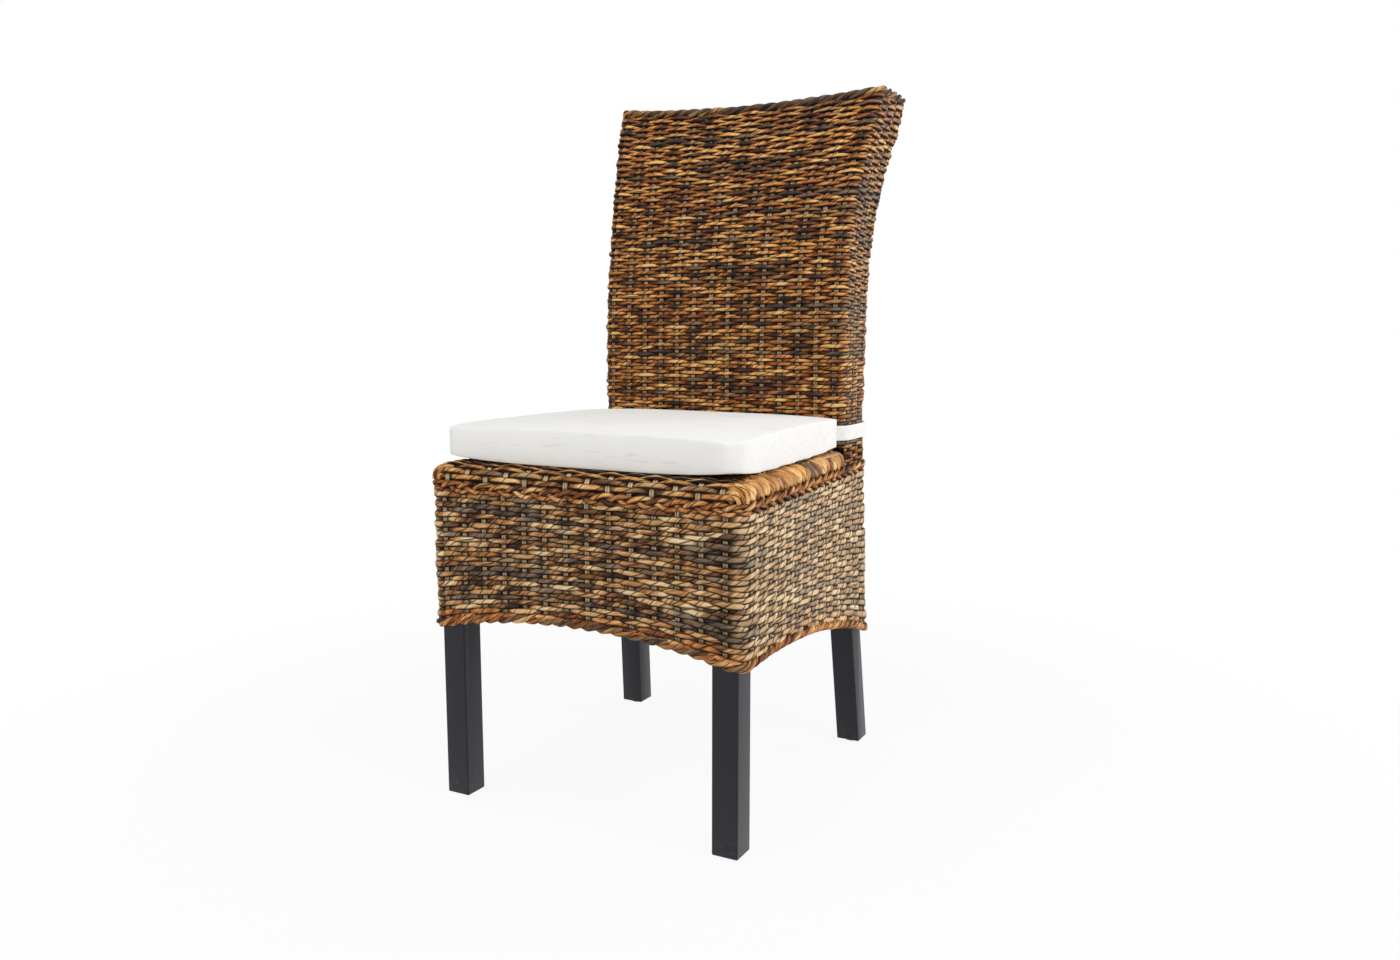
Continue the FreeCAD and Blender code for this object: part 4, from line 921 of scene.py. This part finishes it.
def back_stakes(name, first, count):
    """A pair of rods up the back at each of a count of stakes."""
    rods = []
    lengths = [BACK_ROD_FOOT, *np.linspace(BACK_STRAIGHT, BACK_ROD_HEAD, BACK_ROD_POINTS)]
    for stake in range(first, first + count):
        places = np.array([stake, stake + STAKE_ASIDE])
        line = np.array([back_line(places, along)[0] for along in lengths])
        here, aside = back_line(places, BACK_ROD_LEVEL)
        rods += rod_pair(line, unit(aside - here))
    return lay_strands(name, rods, ROD_SIDES)


back_fibre = twisted_fibre("back_fibre", BACK_TONES, BACK_GREY, BACK_RED, grey_share=0.46,
                           gold_share=0.42, groove_shade_strength=0.98, patches=(0.7, 0.42))
third = BACK_ROWS // 3
woven_back = (back_rows("back_rows_low", range(third)),
              back_rows("back_rows_middle", range(third, 2 * third)),
              back_rows("back_rows_high", range(2 * third, BACK_ROWS)),
              back_foot_rows(),
              back_cap_rows())
for piece in woven_back:
    fitted(piece, back_fibre, "back_fibre", "back_weave")
front_count = BACK_STAKES[0] + BACK_STAKES[1]
fitted(back_stakes("back_stake_rods_front", 0, front_count), rattan, "rattan", "back_stakes_front")
fitted(back_stakes("back_stake_rods_rear", front_count, front_count), rattan, "rattan", "back_stakes_rear")


# Top border: a thick dark rope of plant fibre, laid up from three strands. It is sewn along the upper
# edge of the back, all the way round.
TOP_RADIUS, TOP_LAY, TOP_LIFT, TOP_INSET = 0.0070, 0.066, 0.0065, 0.0062
TOP_TONES = ("#1c1108", "#4f371e", "#8a6232", "#b98a50", "#d6ab72")
TOP_GREY, TOP_GOLD = "#4d443a", "#a87838"

top_places = np.arange(sum(BACK_STAKES) * BORDER_STEPS) / BORDER_STEPS
top_line = back_line(top_places, BACK_LENGTH + TOP_LIFT, TOP_INSET)
top_rope = plied(top_line, way_up(BACK_LENGTH), TOP_RADIUS, TOP_LAY)
top_fibre = twisted_fibre("top_fibre", TOP_TONES, TOP_GREY, TOP_GOLD, grey_share=0.5, gold_share=0.4)
fitted(rope_piece("back_top_rope", top_rope), top_fibre, "back_fibre", "back_top_border")


# Cushion: a box cushion of foam in off-white slubby cotton. The cover is sewn from a top, a bottom and
# a band, so it swells between its seams and is drawn in along its sides and at its corners. It lies a
# little askew.
CUSHION_LOW, CUSHION_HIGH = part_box("cushion_cover")
CUSHION_FRONT_HALF, CUSHION_REAR_HALF, CUSHION_THICK = 0.2275, 0.2035, 0.048
FRONT_OVERHANG, REAR_GAP = 0.006, 0.0005
CUSHION_FRONT, CUSHION_REAR = CUSHION_LOW.y - FRONT_OVERHANG, CUSHION_HIGH.y - REAR_GAP
CUSHION_FOOT, CUSHION_TOP = CUSHION_LOW.z, CUSHION_LOW.z + CUSHION_THICK
FRONT_CORNER, REAR_CORNER, CORNER_STEPS = 0.028, 0.014, 6
NEAR_ENOUGH = 1e-5
CORNER_LIFT, CORNER_DROP, CUSHION_SKEW, DRAW_SHARE = 0.009, 0.006, 0.008, 0.010
VOXEL, PRESSURE, FILLING_FRAMES = 0.004, 4.0, 20
SWELL_CAP, BAND_CAP = 0.005, 0.0012
# Slopes are the upward part of the cover's normal: about 1 on the top and bottom, and 0 on the band.
SEAM_LOW, SEAM_SLOPE, SEAM_HIGH, SEAM_SPREAD, SEAM_RISE = 0.3, 0.7, 0.95, 0.16, 0.0004
ROUNDING_SHARE, ROUNDING_STEPS = 0.5, 10
COTTON_WHITE, COTTON_SLUB, SEAM_PAINTED_SHADE = "#f2f1ed", "#e3e0d8", "#bdbab2"


def round_corners(block, end, radius):
    """Bevel the two upright edges of a block that stand at one end of it."""
    bpy.ops.object.mode_set(mode="EDIT")
    bpy.ops.mesh.select_mode(type="EDGE")
    bpy.ops.mesh.select_all(action="DESELECT")
    bpy.ops.object.mode_set(mode="OBJECT")
    for edge in block.data.edges:
        first, second = (block.data.vertices[index].co for index in edge.vertices)
        upright = abs(first.z - second.z) > NEAR_ENOUGH
        edge.select = upright and max(abs(first.y - end), abs(second.y - end)) < NEAR_ENOUGH
    bpy.ops.object.mode_set(mode="EDIT")
    bpy.ops.mesh.bevel(offset=radius, segments=CORNER_STEPS)
    bpy.ops.object.mode_set(mode="OBJECT")


def cushion_block():
    """The cushion before it is filled: a tapered block with rounded corners, drawn in along its sides."""
    middle_y, middle_z = (CUSHION_FRONT + CUSHION_REAR) / 2, (CUSHION_FOOT + CUSHION_TOP) / 2
    bpy.ops.object.select_all(action="DESELECT")
    bpy.ops.mesh.primitive_cube_add(size=1)
    block = bpy.context.object
    block.name = "cushion"
    for vertex in block.data.vertices:
        half = CUSHION_FRONT_HALF if vertex.co.y < 0 else CUSHION_REAR_HALF
        vertex.co.x *= 2 * half
        vertex.co.y = vertex.co.y * (CUSHION_REAR - CUSHION_FRONT) + middle_y
        vertex.co.z = vertex.co.z * (CUSHION_TOP - CUSHION_FOOT) + middle_z
    round_corners(block, CUSHION_FRONT, FRONT_CORNER)
    round_corners(block, CUSHION_REAR, REAR_CORNER)
    block.data.remesh_voxel_size = VOXEL
    bpy.ops.object.voxel_remesh()
    # The sides are drawn in, the front is shifted to one side, and the corners are thinned.
    for vertex in block.data.vertices:
        across = vertex.co.x / CUSHION_FRONT_HALF
        rearward = (vertex.co.y - middle_y) / (CUSHION_REAR - middle_y)
        upward = (vertex.co.z - CUSHION_FOOT) / (CUSHION_TOP - CUSHION_FOOT)
        corner = (across * rearward) ** 4
        vertex.co.x *= 1 - DRAW_SHARE * (1 - rearward ** 2)
        vertex.co.x -= CUSHION_SKEW * (1 - rearward) / 2
        vertex.co.y -= (vertex.co.y - middle_y) * DRAW_SHARE * (1 - across ** 2)
        vertex.co.z += corner * (CORNER_LIFT * (1 - upward) - CORNER_DROP * upward)
    return block


def filled(block):
    """Swell the cover by cloth simulation, and keep it off the seat, the straps and the back."""
    start = np.array([vertex.co for vertex in block.data.vertices])
    seams = block.vertex_groups.new(name="seams")
    slopes = np.array([abs(vertex.normal.z) for vertex in block.data.vertices])
    seams.add(np.flatnonzero((slopes > SEAM_LOW) & (slopes < SEAM_HIGH)).tolist(), 1.0, "REPLACE")
    cloth = block.modifiers.new("filling", "CLOTH")
    cloth.settings.vertex_group_mass = "seams"
    cloth.settings.use_pressure = True
    cloth.settings.uniform_pressure_force = PRESSURE
    cloth.settings.effector_weights.gravity = 0.0
    scene = bpy.context.scene
    for moment in range(1, FILLING_FRAMES + 1):
        scene.frame_set(moment)
    swollen = block.evaluated_get(bpy.context.evaluated_depsgraph_get()).data
    end = np.array([vertex.co for vertex in swollen.vertices])
    scene.frame_set(1)
    block.modifiers.remove(cloth)
    moved = end - start
    length = np.linalg.norm(moved, axis=1, keepdims=True)
    caps = np.where(slopes[:, None] > SEAM_SLOPE, SWELL_CAP, BAND_CAP)
    end = start + moved * np.minimum(1.0, caps / np.maximum(length, NEAR_ENOUGH))
    end[:, 2] = np.maximum(end[:, 2], CUSHION_FOOT)
    end[:, 1] = np.minimum(end[:, 1], CUSHION_HIGH.y)
    block.data.vertices.foreach_set("co", end.ravel())
    block.data.update()


def seamed(piece):
    """Raise a fine ridge along the edges, where the top, the band and the bottom are sewn together."""
    vertices = piece.data.vertices
    normals = np.array([vertex.normal for vertex in vertices])
    ridge = np.exp(-((np.abs(normals[:, 2]) - SEAM_SLOPE) / SEAM_SPREAD) ** 2)
    places = np.array([vertex.co for vertex in vertices]) + normals * (ridge * SEAM_RISE)[:, None]
    vertices.foreach_set("co", places.ravel())
    # The ridge is kept as the seam mark, which the cotton darkens as painted shade.
    piece.data.attributes.new("seam", "FLOAT", "POINT").data.foreach_set("value", ridge.astype(np.float32))
    piece.data.update()


def slubby_cotton():
    """Off-white cotton with uneven threads, soft creases and a faint painted shade along the seams."""
    finish = Finish("slubby_cotton", {"Sheen Weight": 0.2, "Sheen Roughness": 0.45, "Roughness": 0.85})
    place = finish.place()
    warp = place.scaled(1, 0.05, 0.05).noise(900, 2)
    weft = place.scaled(0.05, 1, 1).noise(900, 2)
    slub = place.scaled(0.1, 1, 1).noise(130, 3, 0.6).between(0.56, 0.72)
    fold = place.noise(7, 3)
    tint = (slub * 0.8).blended(colour(COTTON_WHITE), colour(COTTON_SLUB))
    # Painted shade along the seams, where the cover turns from the top to the band.
    tint = (finish.painted("seam") * 0.15).blended(tint, colour(SEAM_PAINTED_SHADE))
    height = 0.35 * warp + 0.35 * weft + 0.3 * slub
    threads = {"Height": height, "Strength": 0.3, "Distance": 0.0005, "Normal": fold.bump(0.07, 0.012)}
    return finish.feed(base_color=tint, normal=place.node("Bump", (), threads))


cotton = slubby_cotton()
cushion = cushion_block()
filled(cushion)
activate(cushion)
modified(cushion, "SUBSURF", levels=1, render_levels=1)
modified(cushion, "SMOOTH", factor=ROUNDING_SHARE, iterations=ROUNDING_STEPS)
seamed(cushion)
bpy.ops.object.shade_smooth()
cushion.data.materials.append(cotton)
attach(cushion, "seat_cushion")
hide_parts("cushion_cover", "cushion_foam")
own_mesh(cushion)


# Straps: folded cotton tape sewn into the rear corners of the cushion's band. Each goes round its side
# of the back, and they meet behind it.
STRAP_LOW, STRAP_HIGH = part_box("strap_left")
STRAP_SEWN, STRAP_BEND, STRAP_THICK, STRAP_SAG = 0.151, 0.0223, 0.0019, 0.006
STRAP_STEP, STRAP_ROWS, STRAP_EASE, BEND_POINTS = 0.006, 6, 0.0006, 7


def strap_plan():
    """Points in plan from the sewn end, round the side of the back, to the rear end."""
    inside, near, far = STRAP_HIGH.x - STRAP_BEND, STRAP_LOW.y, STRAP_HIGH.y
    points = [(STRAP_SEWN, near)]
    for centre, start in ((near + STRAP_BEND, -90), (far - STRAP_BEND, 0)):
        for angle in np.radians(np.linspace(start, start + 90, BEND_POINTS)):
            points.append((inside + STRAP_BEND * math.cos(angle), centre + STRAP_BEND * math.sin(angle)))
    return points + [(STRAP_LOW.x, far)]


def band(name, plan, mirrored=False):
    """A flat band on edge along a plan, with its thickness on the inner side."""
    line = spaced(np.array([(-x if mirrored else x, y, 0.0) for x, y in plan]), STRAP_STEP)
    heights = np.linspace(STRAP_LOW.z, STRAP_HIGH.z, STRAP_ROWS) - STRAP_SAG
    vertices = [(x, y, height) for x, y, _ in line for height in heights]
    faces = []
    for index in range(len(line) - 1):
        for row in range(STRAP_ROWS - 1):
            corner = index * STRAP_ROWS + row
            face = (corner, corner + STRAP_ROWS, corner + STRAP_ROWS + 1, corner + 1)
            faces.append(face[::-1] if mirrored else face)
    mesh = bpy.data.meshes.new(name)
    mesh.from_pydata(vertices, [], faces)
    piece = placed(name, mesh)
    activate(piece)
    modified(piece, "SOLIDIFY", thickness=STRAP_THICK, offset=-1.0)
    modified(piece, "BEVEL", width=STRAP_EASE, segments=2, limit_method="ANGLE")
    bpy.ops.object.shade_smooth_by_angle(angle=SHARP_ANGLE)
    return piece


fitted(band("strap_tape_left", strap_plan()), cotton, "cotton", "strap_left")
fitted(band("strap_tape_right", strap_plan(), mirrored=True), cotton, "cotton", "strap_right")


# Fastener: a patch of nylon hook-and-loop tape, sewn to the ends of the straps. It joins them behind
# the back.
FASTENER_LOW, FASTENER_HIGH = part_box("strap_fastener")
LOOP_PALE, LOOP_SHADE = "#d6d2c8", "#b3aea2"


def hook_and_loop():
    """Dull grey-white pile."""
    finish = Finish("hook_and_loop", {"Roughness": 0.95, "Specular IOR Level": 0.2})
    place = finish.place()
    pile = place.noise(1500, 3, 0.7)
    tint = pile.between(0.35, 0.65).blended(colour(LOOP_SHADE), colour(LOOP_PALE))
    return finish.feed(base_color=tint, normal=pile.bump(0.6, 0.0006))


fastener_plan = [(FASTENER_HIGH.x, FASTENER_HIGH.y), (FASTENER_LOW.x, FASTENER_HIGH.y)]
fitted(band("fastener_tape", fastener_plan), hook_and_loop(), "hook_and_loop", "strap_fastener")


# Studio: a pale floor that keeps the chair's shadow and fades to white, soft lamps at the right, behind,
# above and in front, and a camera a little above the cushion, in front of the chair's left side.
CAMERA_PLACE, CAMERA_LENS = Vector((0.8106, -1.4818, 0.662)), 29.58
YAW, PITCH = math.radians(27.975), math.radians(-7.969)
FLOOR_SIZE, FLOOR_SHARE, AMBIENT = 14, 0.92, 0.3
FLOOR_PALE = "#e4e5e8"
FADE_START, FADE_END = 0.5, 1.3
SHOWING_RAYS = ("Is Camera Ray", "Is Glossy Ray", "Is Transmission Ray")
CHAIR_MIDDLE = Vector((0.0, 0.0, 0.5))
# Name, place, size and power of each lamp
LAMPS = (("right", (2.4, -0.6, 1.9), 1.5, 39), ("behind", (2.0, 2.4, 1.0), 1.2, 25),
         ("above", (-0.2, -0.8, 2.8), 2.0, 22), ("front", (-1.0, -2.6, 1.2), 1.8, 23))


def shown(tree):
    """1 for rays that show a surface to the camera, also in mirrors and through glass, and 0 for light."""
    path = tree.nodes.new("ShaderNodeLightPath")
    direct, mirrored, through = (Field(tree, path.outputs[name]) for name in SHOWING_RAYS)
    return direct.maths("MINIMUM", direct + mirrored + through, 1.0)


def studio_floor():
    """A plane whose shadows show near the chair and fade to white further away."""
    bpy.ops.object.select_all(action="DESELECT")
    bpy.ops.mesh.primitive_plane_add(size=FLOOR_SIZE)
    floor = bpy.context.object
    floor.name = "floor"
    finish = Finish("pale_floor", {"Roughness": 0.9, "Base Color": colour(FLOOR_PALE)})
    place, tree = finish.place(), finish.tree
    away = place.node("VectorMath", {"operation": "LENGTH"}, {0: place}, "Value")
    share = shown(tree) * (FLOOR_SHARE + (1 - FLOOR_SHARE) * away.between(FADE_START, FADE_END))
    white = place.node("Emission")
    surface = Field(tree, finish.shader.outputs[0])
    mixed = place.node("MixShader", (), {0: share, 1: surface, 2: white})
    tree.links.new(mixed.socket, tree.nodes["Material Output"].inputs[0])
    floor.data.materials.append(finish.material)


def studio_world():
    """White all round the camera's view, and a weaker light on the chair."""
    world = bpy.data.worlds.new("studio")
    bpy.context.scene.world = world
    world.use_nodes = True
    tree = world.node_tree
    light = tree.nodes["Background"]
    light.inputs[0].default_value = (1.0, 1.0, 1.0, 1.0)
    tree.links.new((shown(tree) * (1 - AMBIENT) + AMBIENT).socket, light.inputs[1])


def lamp(name, place, size, power):
    """A round soft lamp aimed at the middle of the chair."""
    bpy.ops.object.light_add(type="AREA", location=place)
    made = bpy.context.object
    made.name = name
    made.data.shape, made.data.size, made.data.energy = "DISK", size, power
    made.rotation_euler = (CHAIR_MIDDLE - Vector(place)).to_track_quat("-Z", "Y").to_euler()


studio_floor()
studio_world()
for settings in LAMPS:
    lamp(*settings)
bpy.ops.object.camera_add(location=CAMERA_PLACE)
camera = bpy.context.object
camera.data.lens = CAMERA_LENS
ahead = Vector((-math.sin(YAW) * math.cos(PITCH), math.cos(YAW) * math.cos(PITCH), math.sin(PITCH)))
camera.rotation_euler = ahead.to_track_quat("-Z", "Y").to_euler()
bpy.context.scene.camera = camera
bpy.context.scene.view_settings.view_transform = "Standard"
